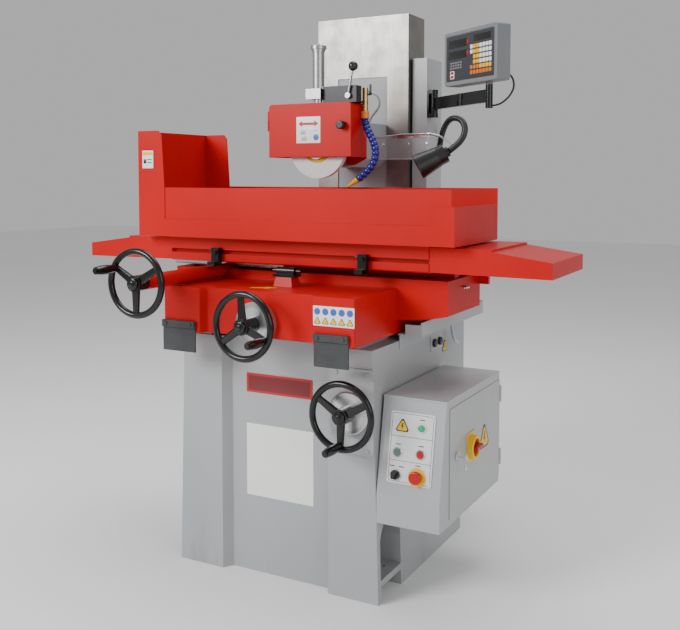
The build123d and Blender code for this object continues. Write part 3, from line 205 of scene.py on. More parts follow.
def plate(centre, right, up, width, height, thickness, corner, edge=0.4):
    """Rounded rectangle, four quarter circles per ring, with rings inset by a quarter circle at its front edge."""
    right, up = np.asarray(right, float), np.asarray(up, float)
    out = np.cross(right, up)
    turn = np.linspace(0, np.pi / 2, 7)
    angle = (turn[None] + np.arange(4)[:, None] * np.pi / 2).ravel()
    sx, sy = np.repeat([1, -1, -1, 1], 7), np.repeat([1, 1, -1, -1], 7)
    roll = np.linspace(0, np.pi / 2, 4)
    insets = np.concatenate([[0.0], edge * (1 - np.cos(roll))])
    heights = np.concatenate([[0.0], thickness - edge + edge * np.sin(roll)])
    rings = []
    for inset, level in zip(insets, heights):
        r = max(corner - inset, 0.0)
        u = sx * (width / 2 - max(corner, inset)) + r * np.cos(angle)
        v = sy * (height / 2 - max(corner, inset)) + r * np.sin(angle)
        rings.append(centre + (u[:, None] * right + v[:, None] * up + level * out) / 1000)
    return capped(rings)


def flat_shape(centre, right, up, outline, thickness):
    """Thin plate with any outline, given anticlockwise in millimetres."""
    right, up = np.asarray(right, float), np.asarray(up, float)
    flat = centre + (np.asarray(outline, float)[:, :1] * right + np.asarray(outline, float)[:, 1:] * up) / 1000
    return capped([flat, flat + thickness / 1000 * np.cross(right, up)])


def turned(centre, out, profile, around=40):
    """Surface of revolution: profile pairs (radius, height) from back to front about the axis out, in millimetres."""
    out = np.asarray(out, float) / np.linalg.norm(out)
    side = np.cross(out, UP if abs(out[2]) < 0.9 else RIGHT)
    side /= np.linalg.norm(side)
    other = np.cross(out, side)
    angle = np.arange(around) / around * 2 * np.pi
    circle = np.cos(angle)[:, None] * side + np.sin(angle)[:, None] * other
    rings = [centre + (radius * circle + height * out) / 1000 for radius, height in profile]
    return capped(rings)


def printed(name, colour, rough=0.35, scuff=0.12):
    """Printed foil or moulded cover: even colour with faint mottling, scuffs and a slight film texture."""
    material, shader, p = finish(name)
    scuffs = p.stretched((60.0, 60.0, 300.0)).noise(1.0, 4.0, 0.7).between(0.56, 0.75)
    p.plug(shader.inputs["Base Color"], (scuffs * scuff + p.noise(40.0) * 0.06).blend(
        colour, tuple(0.6 * c + 0.03 for c in colour)))
    p.plug(shader.inputs["Roughness"], rough + 0.15 * scuffs)
    p.plug(shader.inputs["Normal"], p.noise(700.0, 1.0).bump(0.08, 0.0003))
    return material


label_white = printed("label_white", (0.82, 0.82, 0.80))
label_yellow = printed("label_yellow", (0.85, 0.50, 0.0))
label_black = printed("label_black", (0.015, 0.015, 0.015))
label_red = printed("label_red", (0.45, 0.003, 0.004))

# Plain plates with no lettering: a red name strip and a large white plate on the recess face.
recess_face = 29.6
piece("name_strip", [plate(at(1.5, recess_face, 578), RIGHT, UP, 229, 58, 1.2, 4)], label_red, "stand")
piece("name_strip_field", [plate(at(1.5, recess_face - 1.1, 578), RIGHT, UP, 214, 44, 0.5, 2, 0.2)],
      printed("strip_dark_red", (0.16, 0.006, 0.008)), "stand")
piece("large_plate", [plate(at(3, recess_face, 344), RIGHT, UP, 232, 220, 1.2, 3)], label_white, "stand")


def triangle_sign(prefix, centre, right, up, size, body, bolt=True):
    """Hazard triangle: yellow face standing on a black border, with a plain bolt on the larger ones."""
    def corners(reach):
        turn = np.radians([90, 210, 330])[:, None] + np.radians([-9, 9])[None]
        return np.stack([reach * np.cos(turn).ravel(), reach * np.sin(turn).ravel()], 1)
    out = np.cross(right, up)
    piece(f"{prefix}_border", [flat_shape(centre, right, up, corners(size), 0.5)], label_black, body)
    piece(f"{prefix}_face", [flat_shape(centre + out * 0.0004, right, up, corners(size * 0.78), 0.5)],
          label_yellow, body)
    if bolt:
        zigzag = size * np.array([(-0.02, 0.50), (-0.20, -0.02), (0.0, 0.02), (-0.08, -0.36), (0.20, 0.12),
                                  (0.02, 0.08), (0.14, 0.50)])
        piece(f"{prefix}_bolt", [flat_shape(centre + out * 0.0008, right, up, zigzag, 0.3)], label_black, body)


# ==== levelling screws ====
# Four black-oxide steel screws with hexagon heads, standing on the floor through the ledges.
def machined(name, colour, rough, lines, metallic=1.0, grain=0.5):
    """Machined metal: fine tool lines along one way and slow tarnish."""
    material, shader, p = finish(name)
    cut = p.stretched(lines).noise(1.0, 4.0, 0.7)
    tarnish = p.noise(14.0, 4.0, 0.6).between(0.35, 0.75)
    p.plug(shader.inputs["Base Color"], (tarnish * 0.5).blend(colour, tuple(0.62 * c for c in colour)))
    p.plug(shader.inputs["Roughness"], rough + (cut - 0.5) * 0.22 + tarnish * 0.06)
    p.plug(shader.inputs["Normal"], cut.bump(0.10 * grain, 0.0004))
    shader.inputs["Metallic"].default_value = metallic
    return material


bright_steel = machined("bright_steel", (0.60, 0.60, 0.61), 0.26, (30.0, 30.0, 700.0))
dress(bright_steel, "levelling_screws", "elevating_shaft", "lift_cross_shaft", "elevating_screw", "cross_screw",
      "traverse_shaft", "table_rack", "motor_and_bearings", "spindle")

# ==== electrical box, its panel and door ====
# Folded sheet-steel box in the same grey, with a sloping front panel, hinged right door and a rotary main switch.
sheet_enamel = enamel("sheet_enamel", (0.39, 0.40, 0.41), (0.36, 0.37, 0.38), 520.0, 0.30, 0.35, 0.0)
dress(sheet_enamel, "electrical_box", "box_door", "side_tray", "scale_cover")
panel_foil = printed("panel_foil", (0.66, 0.67, 0.67), 0.40)
dress(panel_foil, "control_panel")
slope_run, slope_foot, slope_head = 50.0, 321.0, 583.0
slope = math.atan2(slope_run, slope_head - slope_foot)
panel_up = np.array([0, math.sin(slope), math.cos(slope)])
panel_out = np.cross(RIGHT, panel_up)
panel_centre = at(430, 25, 452)


def on_panel(u, v, lift=0.0):
    """Point on the sloping panel: u to the right and v up from its middle, lift off it, in millimetres."""
    return panel_centre + (u * RIGHT + v * panel_up + lift * panel_out) / 1000


red_cap = printed("red_cap", (0.42, 0.003, 0.002), 0.24, 0.05)
green_cap = printed("green_cap", (0.09, 0.17, 0.14), 0.28, 0.05)
black_cap = printed("black_cap", (0.008, 0.008, 0.008), 0.34, 0.02)
dress(green_cap, "start_button")
dress(red_cap, "stop_button", "estop_button")
dress(black_cap, "selector_knob")
chrome_ring = machined("chrome_ring", (0.72, 0.72, 0.72), 0.14, (400.0, 400.0, 400.0), 1.0, 0.2)


def two_tone(name, first, second, split, rough, lines=(300.0, 300.0, 300.0)):
    """Two finishes on one piece, each (colour, metallic), parted where split(p) goes from 0 to 1."""
    material, shader, p = finish(name)
    mask = split(p)
    cut = p.stretched(lines).noise(1.0, 4.0, 0.7)
    mottle = p.noise(60.0, 4.0) * 0.35
    p.plug(shader.inputs["Base Color"], mask.blend(
        mottle.blend(first[0], tuple(0.6 * c for c in first[0])),
        mottle.blend(second[0], tuple(0.6 * c for c in second[0]))))
    p.plug(shader.inputs["Metallic"], mask * (second[1] - first[1]) + first[1])
    p.plug(shader.inputs["Roughness"], rough + (cut - 0.5) * 0.2)
    p.plug(shader.inputs["Normal"], cut.bump(0.05, 0.0003))
    return material


steel_tone, black_tone = ((0.45, 0.45, 0.46), 1.0), ((0.014, 0.014, 0.015), 0.0)
knob_back = 0.5278
dress(two_tone("switch_and_shaft", steel_tone, ((0.42, 0.003, 0.002), 0.0), lambda p: p.axis("X") > knob_back, 0.24),
      "main_switch_knob")


def ringed(centre, right, up, turn, radius, level):
    """Closed ring about the axis right x up: at angle turn[i] its section passes radius[i, j] at height level[j]."""
    right, up = np.asarray(right, float), np.asarray(up, float)
    ray = np.cos(turn)[:, None, None] * right + np.sin(turn)[:, None, None] * up
    points = centre + (radius[..., None] * ray + level[None, :, None] * np.cross(right, up)) / 1000
    around, steps = points.shape[:2]
    i, j = np.meshgrid(np.arange(around), np.arange(steps), indexing="ij")
    after, over = (i + 1) % around, (j + 1) % steps
    faces = np.stack([i * steps + j, after * steps + j, after * steps + over, i * steps + over], -1)
    return points.reshape(-1, 3), faces.reshape(-1, 4).tolist()


def collar(centre, right, up, inner, outer, height, lip=0.6):
    """Round ring: outer wall, chamfered lip, flat top, chamfered lip and bore."""
    turn = np.arange(48) / 48 * 2 * np.pi
    radius = np.array([[outer, outer, outer - lip, inner + lip, inner, inner]])
    level = np.array([0.0, height - lip, height, height, height - lip, 0.0])
    return ringed(centre, right, up, turn, radius, level)


def holed(centre, right, up, half_width, half_height, hole, thickness):
    """Flat rectangle with a round hole: each ray at angle a meets the edge at min(w / |cos a|, h / |sin a|)."""
    corner = math.atan2(half_height, half_width)
    turn = np.sort(np.concatenate([np.arange(48) / 48 * 2 * np.pi + 0.03, [
        corner, math.pi - corner, math.pi + corner, 2 * math.pi - corner]]))
    edge = np.minimum(half_width / np.abs(np.cos(turn)), half_height / np.abs(np.sin(turn)))
    inner = np.full_like(turn, hole)
    return ringed(centre, right, up, turn, np.stack([edge, edge, inner, inner], 1),
                  np.array([0.0, thickness, thickness, 0.0]))


foil, bezel, disc = 3.0, 6.0, 4.5      # heights of the panel's foil, its bezels and the stop button's disc
start_place, stop_place, estop_place, pilot_place = (-38, -14), (30, -12), (24, -74), (28, 58)
piece("button_collars", [collar(on_panel(u, v, bezel), RIGHT, panel_up, 9.6, 13.2, 1.6)
                         for u, v in (start_place, stop_place)], chrome_ring, "stand")
piece("estop_disc", [collar(on_panel(*estop_place, disc), RIGHT, panel_up, 9.8, 25.5, 1.2, 0.4)],
      label_yellow, "stand")
piece("pilot_lens", [turned(on_panel(*pilot_place, bezel), panel_out, [
    (9.4, 0), (9.4, 3), (8.8, 5), (7, 6.6), (4, 7.6), (1, 7.9)])],
      printed("lens_green", (0.01, 0.36, 0.16), 0.12, 0.02), "stand")
panel_lines = [(0, 92, 122, 1.2), (0, -92, 122, 1.2), (0, 30, 122, 1.2), (0, -36, 122, 1.2)]
panel_lines += [(-61, 0, 1.2, 185), (61, 0, 1.2, 185)]
piece("panel_lines", [plate(on_panel(u, v, foil - 0.1), RIGHT, panel_up, w, h, 0.35, 0.2, 0.1)
                      for u, v, w, h in panel_lines], label_black, "stand")
piece("button_tags", [plate(on_panel(u, v, foil - 0.1), RIGHT, panel_up, 15, 2.6, 0.35, 0.4, 0.1)
                      for u, v in ((-38, 8), (30, 10), (-52, -52), (-24, -52), (24, -43), (28, 80))],
      label_black, "stand")
piece("panel_screws", [turned(on_panel(u, v, foil - 0.2), panel_out, [(3, 0), (3, 1.0), (2.2, 1.6), (0.6, 1.7)], 20)
                       for u in (-61, 61) for v in (-92, 92)], chrome_ring, "stand")
triangle_sign("panel_triangle", on_panel(-30, 56, foil - 0.1), RIGHT, panel_up, 21, "stand")

door_face, switch_face = 525.8, 527.8
switch_centre = (228, 418)
piece("switch_plate", [holed(at(switch_face - 0.05, *switch_centre), BACK, UP, 32, 42, 7.0, 0.25)],
      label_yellow, "door")
piece("switch_housing", [collar(at(switch_face, *switch_centre), BACK, UP, 25.5, 34.0, 19.0, 2.0)],
      label_yellow, "door")
piece("lock_sleeve", [collar(at(door_face, 116, 420), BACK, UP, 11.1, 13.0, 6.4, 0.5)], chrome_ring, "door")
key_outline = np.array([(3, -2.2), (17, -2.2), (19, -7), (24, -9), (30, -6), (32, 0), (30, 6),
                        (24, 9), (19, 7), (17, 2.2), (3, 2.2)])
piece("lock_keys", [
    flat_shape(at(530, 115, 420), RIGHT, UP, key_outline, 2.0),
    flat_shape(at(553, 116, 414), -UP, BACK, key_outline, 1.8)], chrome_ring, "door")
triangle_sign("door_triangle", at(door_face - 0.1, 350, 410), BACK, UP, 44, "door")

# ==== saddle ====
# Red enamelled iron casting sliding on the base, with rubber wipers under its wings and a reversing stop in front.
red_enamel = enamel("red_enamel", (0.52, 0.0002, 0.0006), (0.43, 0.0002, 0.0005), 300.0, 0.36, 0.03, 0.0)
dress(red_enamel, "saddle_casting", "table_casting")
material, shader, p = finish("flap_rubber")
pebble = p.out(p.node("ShaderNodeTexVoronoi", sockets={"Vector": p, "Scale": 420.0}), "Distance")
p.plug(shader.inputs["Base Color"], p.noise(30.0, 4.0).blend((0.022, 0.023, 0.025), (0.055, 0.057, 0.06)))
p.plug(shader.inputs["Roughness"], 0.55 + 0.25 * p.noise(60.0))
p.plug(shader.inputs["Normal"], pebble.bump(0.75, 0.0012))
dress(material, "wiper_flaps")
gloss_black = enamel("gloss_black", (0.004, 0.004, 0.0045), (0.007, 0.007, 0.0075), 420.0, 0.22, 0.3, 0.0)
dress(gloss_black, "reversing_stop", "left_stop_dog", "right_stop_dog", "traverse_wheel", "cross_wheel",
      "elevating_wheel", "dro_bracket", "dro_arm", "dro_outer_arm")
piece("way_arrow", [flat_shape(at(-24, -6, 872.2), RIGHT, BACK, [
    (-36, -24), (8, -8), (12, -20), (36, 14), (-6, 20), (-1, 8), (-40, -10)], 0.4)],
      label_yellow, "saddle")
piece("wing_label", [plate(at(256, -100, 820), RIGHT, UP, 126, 54, 0.8, 2, 0.3)], label_white, "saddle")
piece("wing_label_discs", [turned(at(206 + 25 * n, -100.8, 832), -BACK, [(9.5, 0), (9.5, 0.4), (9, 0.5)])
                           for n in range(5)], printed("label_blue", (0.03, 0.10, 0.45)), "saddle")
for n in range(5):
    triangle_sign(f"wing_sign_{n}", at(206 + 25 * n, -100.8, 805), RIGHT, UP, 11, "saddle", False)
piece("oil_nipples", [turned(at(479 + n, 288 + 14 * n, 871), RIGHT, [
    (5, 0), (5, 4), (3.2, 5), (3.2, 8), (4.4, 9.5), (3.4, 12), (1.5, 13)], 24) for n in (0, 1)],
      chrome_ring, "saddle")

# ==== sockets on the base's right side ====
# Small sheet-steel plate with two moulded cable sockets below the saddle, and a hazard triangle beside it.
side_x = 325.6
piece("socket_plate", [plate(at(side_x - 0.8, 458, 668), BACK, UP, 92, 50, 2.0, 3, 0.6)],
      sheet_enamel, "stand")
piece("sockets", [turned(at(side_x + 0.8, y, 668), RIGHT, [(13, 0), (13, 7), (11, 9), (7, 9.4)], 32)
                  for y in (436, 480)], black_cap, "stand")
triangle_sign("side_triangle", at(side_x + 0.2, 531, 640), BACK, UP, 22, "stand")

# ==== handwheels ====
# Cast three-spoke wheels in gloss black, with polished phenolic grips that spin and a round cap on each hub.
# Satin turned aluminium dials stand behind two of them.
phenolic = printed("phenolic", (0.004, 0.004, 0.004), 0.16, 0.0)
dress(phenolic, "traverse_grip", "cross_grip", "elevating_grip")
for wheel, shaft in (("traverse", "traverse_shaft"), ("cross", "cross_screw"), ("elevating", "elevating_shaft")):
    low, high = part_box(f"{wheel}_wheel")
    cap_foot = np.array([(low.x + high.x) / 2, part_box(shaft)[0].y, (low.z + high.z) / 2])
    piece(f"{wheel}_hub_cap", [turned(cap_foot, -BACK, [
        (17.5, -2.1), (17.5, 2.5), (16, 4.5), (11, 6), (8.5, 6.2), (8, 8.4), (6.5, 9.2), (1, 9.4)])],
          gloss_black, f"{wheel}_handwheel")


def graduated(name, node):
    """Satin turned aluminium: fine concentric lathe lines, and engraved divisions round its front."""
    low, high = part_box(node)
    centre = (low + high) / 2
    material, shader, p = finish(name)
    q = p.stretched((1.0, 0.0, 1.0), tuple(centre))
    radius = p.out(p.node("ShaderNodeVectorMath", {"operation": "LENGTH"}, {0: q}), "Value")
    angle = q.math("ARCTAN2", q.axis("Z"), q.axis("X"))
    divisions, mark_share, mark_start, mark_end, lathe_pitch = 100, 0.22, 0.0475, 0.0575, 9000.0
    turned_by = angle * (divisions / (2 * math.pi)) + divisions / 2
    marks = (turned_by.math("FRACT", turned_by) < mark_share) * (radius > mark_start) * (radius < mark_end)
    rings = radius.math("SINE", radius * lathe_pitch)
    p.plug(shader.inputs["Base Color"], marks.blend((0.62, 0.62, 0.63), (0.03, 0.03, 0.03)))
    p.plug(shader.inputs["Roughness"], 0.30 + 0.06 * rings + 0.3 * marks)
    p.plug(shader.inputs["Normal"], (rings * 0.25 - marks).bump(0.18, 0.0003))
    shader.inputs["Metallic"].default_value = 0.9
    return material


dress(graduated("cross_dial_metal", "cross_dial"), "cross_dial")
dress(graduated("elevating_dial_metal", "elevating_dial"), "elevating_dial")

# ==== table and its guards ====
# Red enamelled iron table in a red sheet-steel trough, with a tall spark catcher at the left and covers at the ends.
red_sheet = enamel("red_sheet", (0.54, 0.0002, 0.0006), (0.46, 0.0002, 0.0005), 620.0, 0.36, 0.03, 0.0)
dress(red_sheet, "splash_guard", "spark_catcher", "end_covers", "wheel_guard", "guard_cover")
piece("catcher_label", [plate(at(-500, 48, 1250), RIGHT, UP, 44, 56, 0.6, 2, 0.2)], label_white, "table")
piece("catcher_label_band", [plate(at(-500, 47.5, 1269), RIGHT, UP, 40, 12, 0.4, 1, 0.1)],
      label_yellow, "table")
piece("catcher_label_marks", [plate(at(x, 47.5, z), RIGHT, UP, w, h, 0.4, 1, 0.1)
                              for x, z, w, h in ((-511, 1244, 12, 14), (-492, 1250, 18, 3), (-492, 1240, 18, 3))],
      label_black, "table")

# ==== column and covers ====
# Grey cast column behind a wide cover of brushed stainless sheet; the head's plate slides in its slot.
dress(grey_enamel, "column_casting", "head_casting")
dress(machined("brushed_stainless", (0.27, 0.255, 0.24), 0.34, (520.0, 520.0, 7.0), 1.0, 0.9), "column_cover")

# ==== grinding head ====
# Spindle in the head with a white fused-alumina wheel under a red hood; dresser on top and coolant gear at its side.
material, shader, p = finish("abrasive_grit")
grit = p.out(p.node("ShaderNodeTexVoronoi", sockets={"Vector": p, "Scale": 1500.0}), "Distance")
spindle_height, blotter_radius = 1.290, 0.052
blotter = p.stretched((1.0, 0.0, 1.0), (0.0, 0.0, spindle_height))
radius = p.out(p.node("ShaderNodeVectorMath", {"operation": "LENGTH"}, {0: blotter}), "Value")
p.plug(shader.inputs["Base Color"], (radius < blotter_radius).blend(
    p.noise(160.0, 4.0).blend((0.80, 0.79, 0.79), (0.66, 0.64, 0.64)), (0.60, 0.42, 0.03)))
p.plug(shader.inputs["Roughness"], 0.85 + 0.1 * p.noise(300.0))
p.plug(shader.inputs["Normal"], grit.bump(0.6, 0.0006))
dress(material, "grinding_wheel")

ball_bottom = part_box("dresser_lever")[1].z - 0.030
barrel_right, barrel_foot = 0.0195, 1.478
dress(two_tone("lever_and_ball", steel_tone, black_tone, lambda p: p.axis("Z") > ball_bottom, 0.2), "dresser_lever")
dress(two_tone("dresser_metal", ((0.42, 0.42, 0.42), 0.9), ((0.035, 0.035, 0.038), 0.6),
               lambda p: (p.axis("X") > barrel_right) * (p.axis("Z") < barrel_foot), 0.34), "dresser_block")
nozzle_top = 1.192
dress(two_tone("brass_and_nozzle", ((0.58, 0.40, 0.15), 1.0), ((0.80, 0.36, 0.0), 0.0),
               lambda p: p.axis("Z") < nozzle_top, 0.28), "coolant_fittings")
piece("hose_collar", [collar(at(143, 312, 1376), RIGHT, BACK, 10.9, 13.0, 22.0, 1.0)],
      printed("collar_orange", (0.75, 0.22, 0.02), 0.3), "head")
dress(black_cap, "tap_handle", "guard_knob", "lamp_head")
piece("hood_label", [plate(at(-19, 240, 1341), RIGHT, UP, 86, 82, 0.8, 2, 0.3)], label_white, "hood_cover")
piece("hood_arrow", [flat_shape(at(-19, 239.1, 1352), RIGHT, UP, [
    (-36, 8), (-22, -2), (-22, 4), (22, 4), (22, -2), (36, 8), (22, 18), (22, 12), (-22, 12), (-22, 18)], 0.4)],
      label_red, "hood_cover")
piece("hood_label_disc", [turned(at(9, 239.2, 1318), -BACK, [(10, 0), (10, 0.4), (9.4, 0.5)])],
      printed("hood_blue", (0.03, 0.10, 0.45)), "hood_cover")
piece("hood_label_box", [plate(at(x, 239.2, z), RIGHT, UP, w, h, 0.4, 1, 0.1)
                         for x, z, w, h in ((-38, 1334, 18, 14), (-34, 1314, 18, 14), (2, 1338, 26, 3))],
      printed("print_grey", (0.40, 0.40, 0.42)), "hood_cover")


def nurbs_curve(name, route, resolution):
    """Curve of one open NURBS spline whose control points are the route's."""
    curve = bpy.data.curves.new(name, "CURVE")
    curve.dimensions = "3D"
    spline = curve.splines.new("NURBS")
    spline.points.add(len(route) - 1)
    spline.points.foreach_set("co", np.c_[np.array(route), np.ones(len(route))].ravel())
    spline.order_u, spline.use_endpoint_u, spline.resolution_u = 3, True, resolution
    return curve


def spline_points(route):
    """Points along the smooth NURBS line through a route's control points, as Blender gives them."""
    guide = bpy.data.objects.new("guide", nurbs_curve("guide", route, 24))
    mesh = bpy.data.meshes.new_from_object(guide)
    points = np.array([v.co for v in mesh.vertices])
    bpy.data.objects.remove(guide)
    bpy.data.meshes.remove(mesh)
    return points


def ribbed(route, shape, pitch, steps_per_rib, around=28):
    """Closed tube on a route's line: radius shape(s), s counted in ribs; even steps, rings square to the line."""
    line = spline_points(route)
    reach = np.concatenate([[0], np.cumsum(np.linalg.norm(np.diff(line, axis=0), axis=1))])
    ribs = max(2, round(reach[-1] / pitch))
    s = np.linspace(0, reach[-1], ribs * steps_per_rib + 1)
    centre = np.stack([np.interp(s, reach, line[:, k]) for k in range(3)], 1)
    tangent = np.gradient(centre, axis=0)
    tangent /= np.linalg.norm(tangent, axis=1)[:, None]
    side = np.cross(tangent, np.array([0.31, 0.93, 0.17]))
    side /= np.linalg.norm(side, axis=1)[:, None]
    other = np.cross(tangent, side)
    angle = np.arange(around) / around * 2 * np.pi
    radius = shape(s / reach[-1] * ribs)[:, None, None]
    rings = centre[:, None] + radius * (
        np.cos(angle)[None, :, None] * side[:, None] + np.sin(angle)[None, :, None] * other[:, None])
    return capped(rings)


coolant_route = [at(*q) for q in (
    (143, 312, 1384), (145, 309, 1358), (162, 302, 1330), (181, 295, 1302), (193, 288, 1272),
    (192, 279, 1242), (177, 267, 1212), (147, 256, 1187))]
ball_joint = lambda t: 0.0118 * (0.58 + 0.42 * np.sqrt(np.clip(1 - (2 * (t % 1) - 1) ** 2, 0, 1)))
jointed_hose = piece("jointed_hose", [ribbed(coolant_route, ball_joint, 0.0158, 12)],
                     printed("hose_blue", (0.012, 0.008, 0.20), 0.2, 0.02), "head", 50.0)
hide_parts("coolant_hose")


def soft_tube(name, route, radius, material, body):
    """Free tube: a round NURBS line through the route's control points."""
    curve = nurbs_curve(name, route, 16)
    curve.bevel_depth, curve.bevel_resolution, curve.use_fill_caps = radius, 6, True
    curve.materials.append(material)
    made = bpy.data.objects.new(name, curve)
    bpy.context.scene.collection.objects.link(made)
    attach(made, body)
    return made


milky = printed("milky_tube", (0.42, 0.53, 0.58), 0.30, 0.04)
supply_route = [at(*q) for q in (
    (143, 326, 1460), (148, 340, 1459), (164, 354, 1450), (166, 374, 1431), (151, 392, 1411),
    (127, 404, 1394), (110, 412, 1376), (102, 416, 1362))]
supply = soft_tube("supply_tube_line", supply_route, 0.0035, milky, "head")
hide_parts("supply_tube")

drain_route = [at(*q) for q in (
    (360, 495, 736), (362, 503, 705), (361, 518, 677), (359, 544, 657), (356, 572, 650))]
drain = soft_tube("drain_hose_line", drain_route, 0.005, milky, "stand")
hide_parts("drain_hose")

# Clear bent shield hung under a steel rod, carried by the head; see-through sheet with a slightly hazy surface.
material, shader, p = finish("clear_sheet")
rail_foot, edge_top = 1.3185, 1.2545
rail = p.axis("Z") > rail_foot
edge = p.axis("Z") < edge_top
p.plug(shader.inputs["Metallic"], rail)
p.plug(shader.inputs["Roughness"], 0.08 + 0.12 * p.noise(25.0, 4.0) + 0.12 * rail)
haze = 0.30 + 0.12 * p.noise(12.0, 3.0) + 0.35 * edge
p.plug(shader.inputs["Alpha"], haze.math("MAXIMUM", rail, haze))
p.plug(shader.inputs["Base Color"], rail.blend(
    p.noise(18.0).blend((0.36, 0.38, 0.40), (0.50, 0.52, 0.54)), (0.60, 0.60, 0.60)))
shader.inputs["IOR"].default_value = 1.49
dress(material, "eye_shield")
piece("shield_screws", [turned(at(x, y - 1.4, 1300), -BACK, [(4, 0), (4, 1.5), (3, 2.4), (0.8, 2.6)], 20)
                        for x, y in ((130, 472), (222, 464), (292, 452))], chrome_ring, "head")

# ==== work lamp ====
# Black flexible neck of pressed rings from the scale cover, with a deep black shade.
lamp_route = [at(*q) for q in (
    (229, 690, 1266), (240, 688, 1290), (249, 680, 1332), (276, 650, 1372), (318, 604, 1390),
    (368, 552, 1381), (403, 500, 1352), (414, 455, 1318), (405, 418, 1291), (389, 392, 1273))]
pressed_ring = lambda t: 0.010 * (0.84 + 0.16 * np.abs(np.sin(np.pi * t)))
neck = piece("lamp_neck_rings", [ribbed(lamp_route, pressed_ring, 0.0045, 5, 24)], black_cap, "stand",
             60.0)
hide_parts("lamp_neck")

# ==== position display ====
# Grey die-cast case on the outer arm: dark face with three windows, two small red keys and two blocks of keys.
case_grey = enamel("case_grey", (0.21, 0.22, 0.23), (0.18, 0.19, 0.20), 900.0, 0.48, 0.05, 0.0)
dress(case_grey, "dro_housing")
turn = math.radians(-34.3)
screen_right = np.array([math.cos(turn), math.sin(turn), 0.0])
screen_out = np.cross(screen_right, UP)
screen_centre = at(450.5, 400, 1560)


def on_screen(u, v, lift):
    """Point on the display's face: u to the right and v up from its middle, lift in front of it, in millimetres."""
    return screen_centre + (u * screen_right + v * UP + lift * screen_out) / 1000


face = -2.4      # the sunken screen lies this far from the case's front
key_step = 15.4
piece("display_face", [plate(on_screen(0, 0, face), screen_right, UP, 242, 138, 0.9, 5, 0.2)],
      printed("face_dark", (0.035, 0.038, 0.045), 0.32), "read_out")
piece("display_windows", [plate(on_screen(u, v, face + 0.8), screen_right, UP, w, h, 0.6, 2, 0.2)
                          for u, v, w, h in ((-64, 44, 94, 24), (-64, 10, 94, 24), (62, 50, 86, 20))],
      printed("window_dark", (0.012, 0.011, 0.012), 0.08, 0.02), "read_out")
piece("display_red_keys", [plate(on_screen(-10, v, face + 0.8), screen_right, UP, 9, 12, 1.8, 1.5, 0.5)
                           for v in (44, 10)], red_cap, "read_out")
piece("display_small_keys", [plate(on_screen(-98 + 13 * c, -14 - 8 * r, face + 0.8),
                                   screen_right, UP, 9.5, 5, 1.2, 1, 0.4)
                             for c in range(5) for r in range(3)], case_grey, "read_out")
piece("display_mark", [plate(on_screen(-92, -50, face + 0.8), screen_right, UP, 22, 24, 0.5, 1, 0.2)],
      label_white, "read_out")
piece("display_mark_fields", [plate(on_screen(-92, v, face + 1.2), screen_right, UP, 16, 8, 0.4, 1, 0.1)
                              for v in (-44, -56)], label_red, "read_out")
key_columns, key_rows = 7, 6
for label, tone, chosen in (
        ("white", label_white, lambda c, r: r < 4 and (c > 2 or c == 0 and r < 2)),
        ("yellow", label_yellow, lambda c, r: r < 4 and 0 < c < 3 or r == 4 and c > 2),
        ("orange", printed("key_orange", (0.62, 0.16, 0.015)), lambda c, r: r == 5 or r == 4 and c < 3)):
    piece(f"display_keys_{label}", [
        plate(on_screen(10 + key_step * c, 26 - key_step * r, face + 0.8), screen_right, UP, 12.4, 11.6, 2.2, 2.0, 0.7)
        for c in range(key_columns) for r in range(key_rows) if chosen(c, r)], tone, "read_out")
cable_start = np.array([565.8, 391.6, 1500.0])
cable_route = [at(*q) for q in (
    cable_start, cable_start + (9, 13, -1), (582, 418, 1486), (584, 423, 1462), (574, 418, 1438),
    (556, 410, 1418), (538, 404, 1409), (525.6, 401, 1408))]
cable = soft_tube("display_cable", cable_route, 0.003, black_cap, "read_out")
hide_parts("dro_cable")

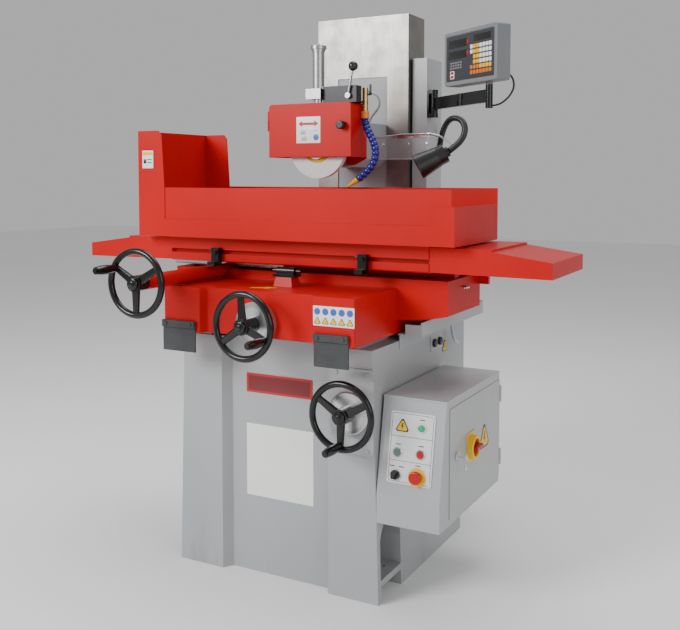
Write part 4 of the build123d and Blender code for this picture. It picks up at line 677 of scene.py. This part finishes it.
# ==== floor, light and camera ====
# Plain flat pale floor, three large soft lamps and a camera at the operator's right front.
material, shader, p = finish("pale_floor")
p.plug(shader.inputs["Base Color"], p.noise(1.5).blend((0.86, 0.86, 0.86), (0.90, 0.90, 0.90)))
p.plug(shader.inputs["Roughness"], 0.75 + 0.05 * p.noise(30.0))
floor_half = 14
floor_mesh = bpy.data.meshes.new("studio_floor")
floor_mesh.from_pydata([(x * floor_half, y * floor_half, 0) for x, y in ((-1, -1), (1, -1), (1, 1), (-1, 1))],
                       [], [(0, 1, 2, 3)])
floor_mesh.materials.append(material)
floor = bpy.data.objects.new("studio_floor", floor_mesh)
bpy.context.scene.collection.objects.link(floor)

world = bpy.data.worlds.new("studio")
world.use_nodes = True
world.node_tree.nodes["Background"].inputs["Color"].default_value = (1.0, 1.0, 1.0, 1)
world.node_tree.nodes["Background"].inputs["Strength"].default_value = 0.5
bpy.context.scene.world = world
lit_point = Vector((0, 0, 0.9))
for name, place, size, power in (
        ("key_lamp", (-2.2, -4.2, 3.0), 2.0, 230.0), ("fill_lamp", (4.2, -2.4, 2.2), 2.4, 60.0),
        ("top_lamp", (0.2, 0.8, 4.2), 2.6, 90.0)):
    lamp = bpy.data.lights.new(name, "AREA")
    lamp.shape, lamp.size, lamp.energy = "SQUARE", size, power
    stand_in = bpy.data.objects.new(name, lamp)
    stand_in.location = place
    stand_in.rotation_euler = (lit_point - Vector(place)).to_track_quat("-Z", "Y").to_euler()
    bpy.context.scene.collection.objects.link(stand_in)

camera = bpy.data.cameras.new("camera")
camera.lens, camera.shift_y = 47.84, -0.125
view_point = bpy.data.objects.new("camera", camera)
azimuth, pitch = math.radians(28.21), math.radians(3.43)
ahead = Vector((-math.sin(azimuth) * math.cos(pitch), math.cos(azimuth) * math.cos(pitch), -math.sin(pitch)))
view_point.location = (1.4083, -2.5717, 1.1978)
view_point.rotation_euler = ahead.to_track_quat("-Z", "Y").to_euler()
bpy.context.scene.collection.objects.link(view_point)
bpy.context.scene.camera = view_point
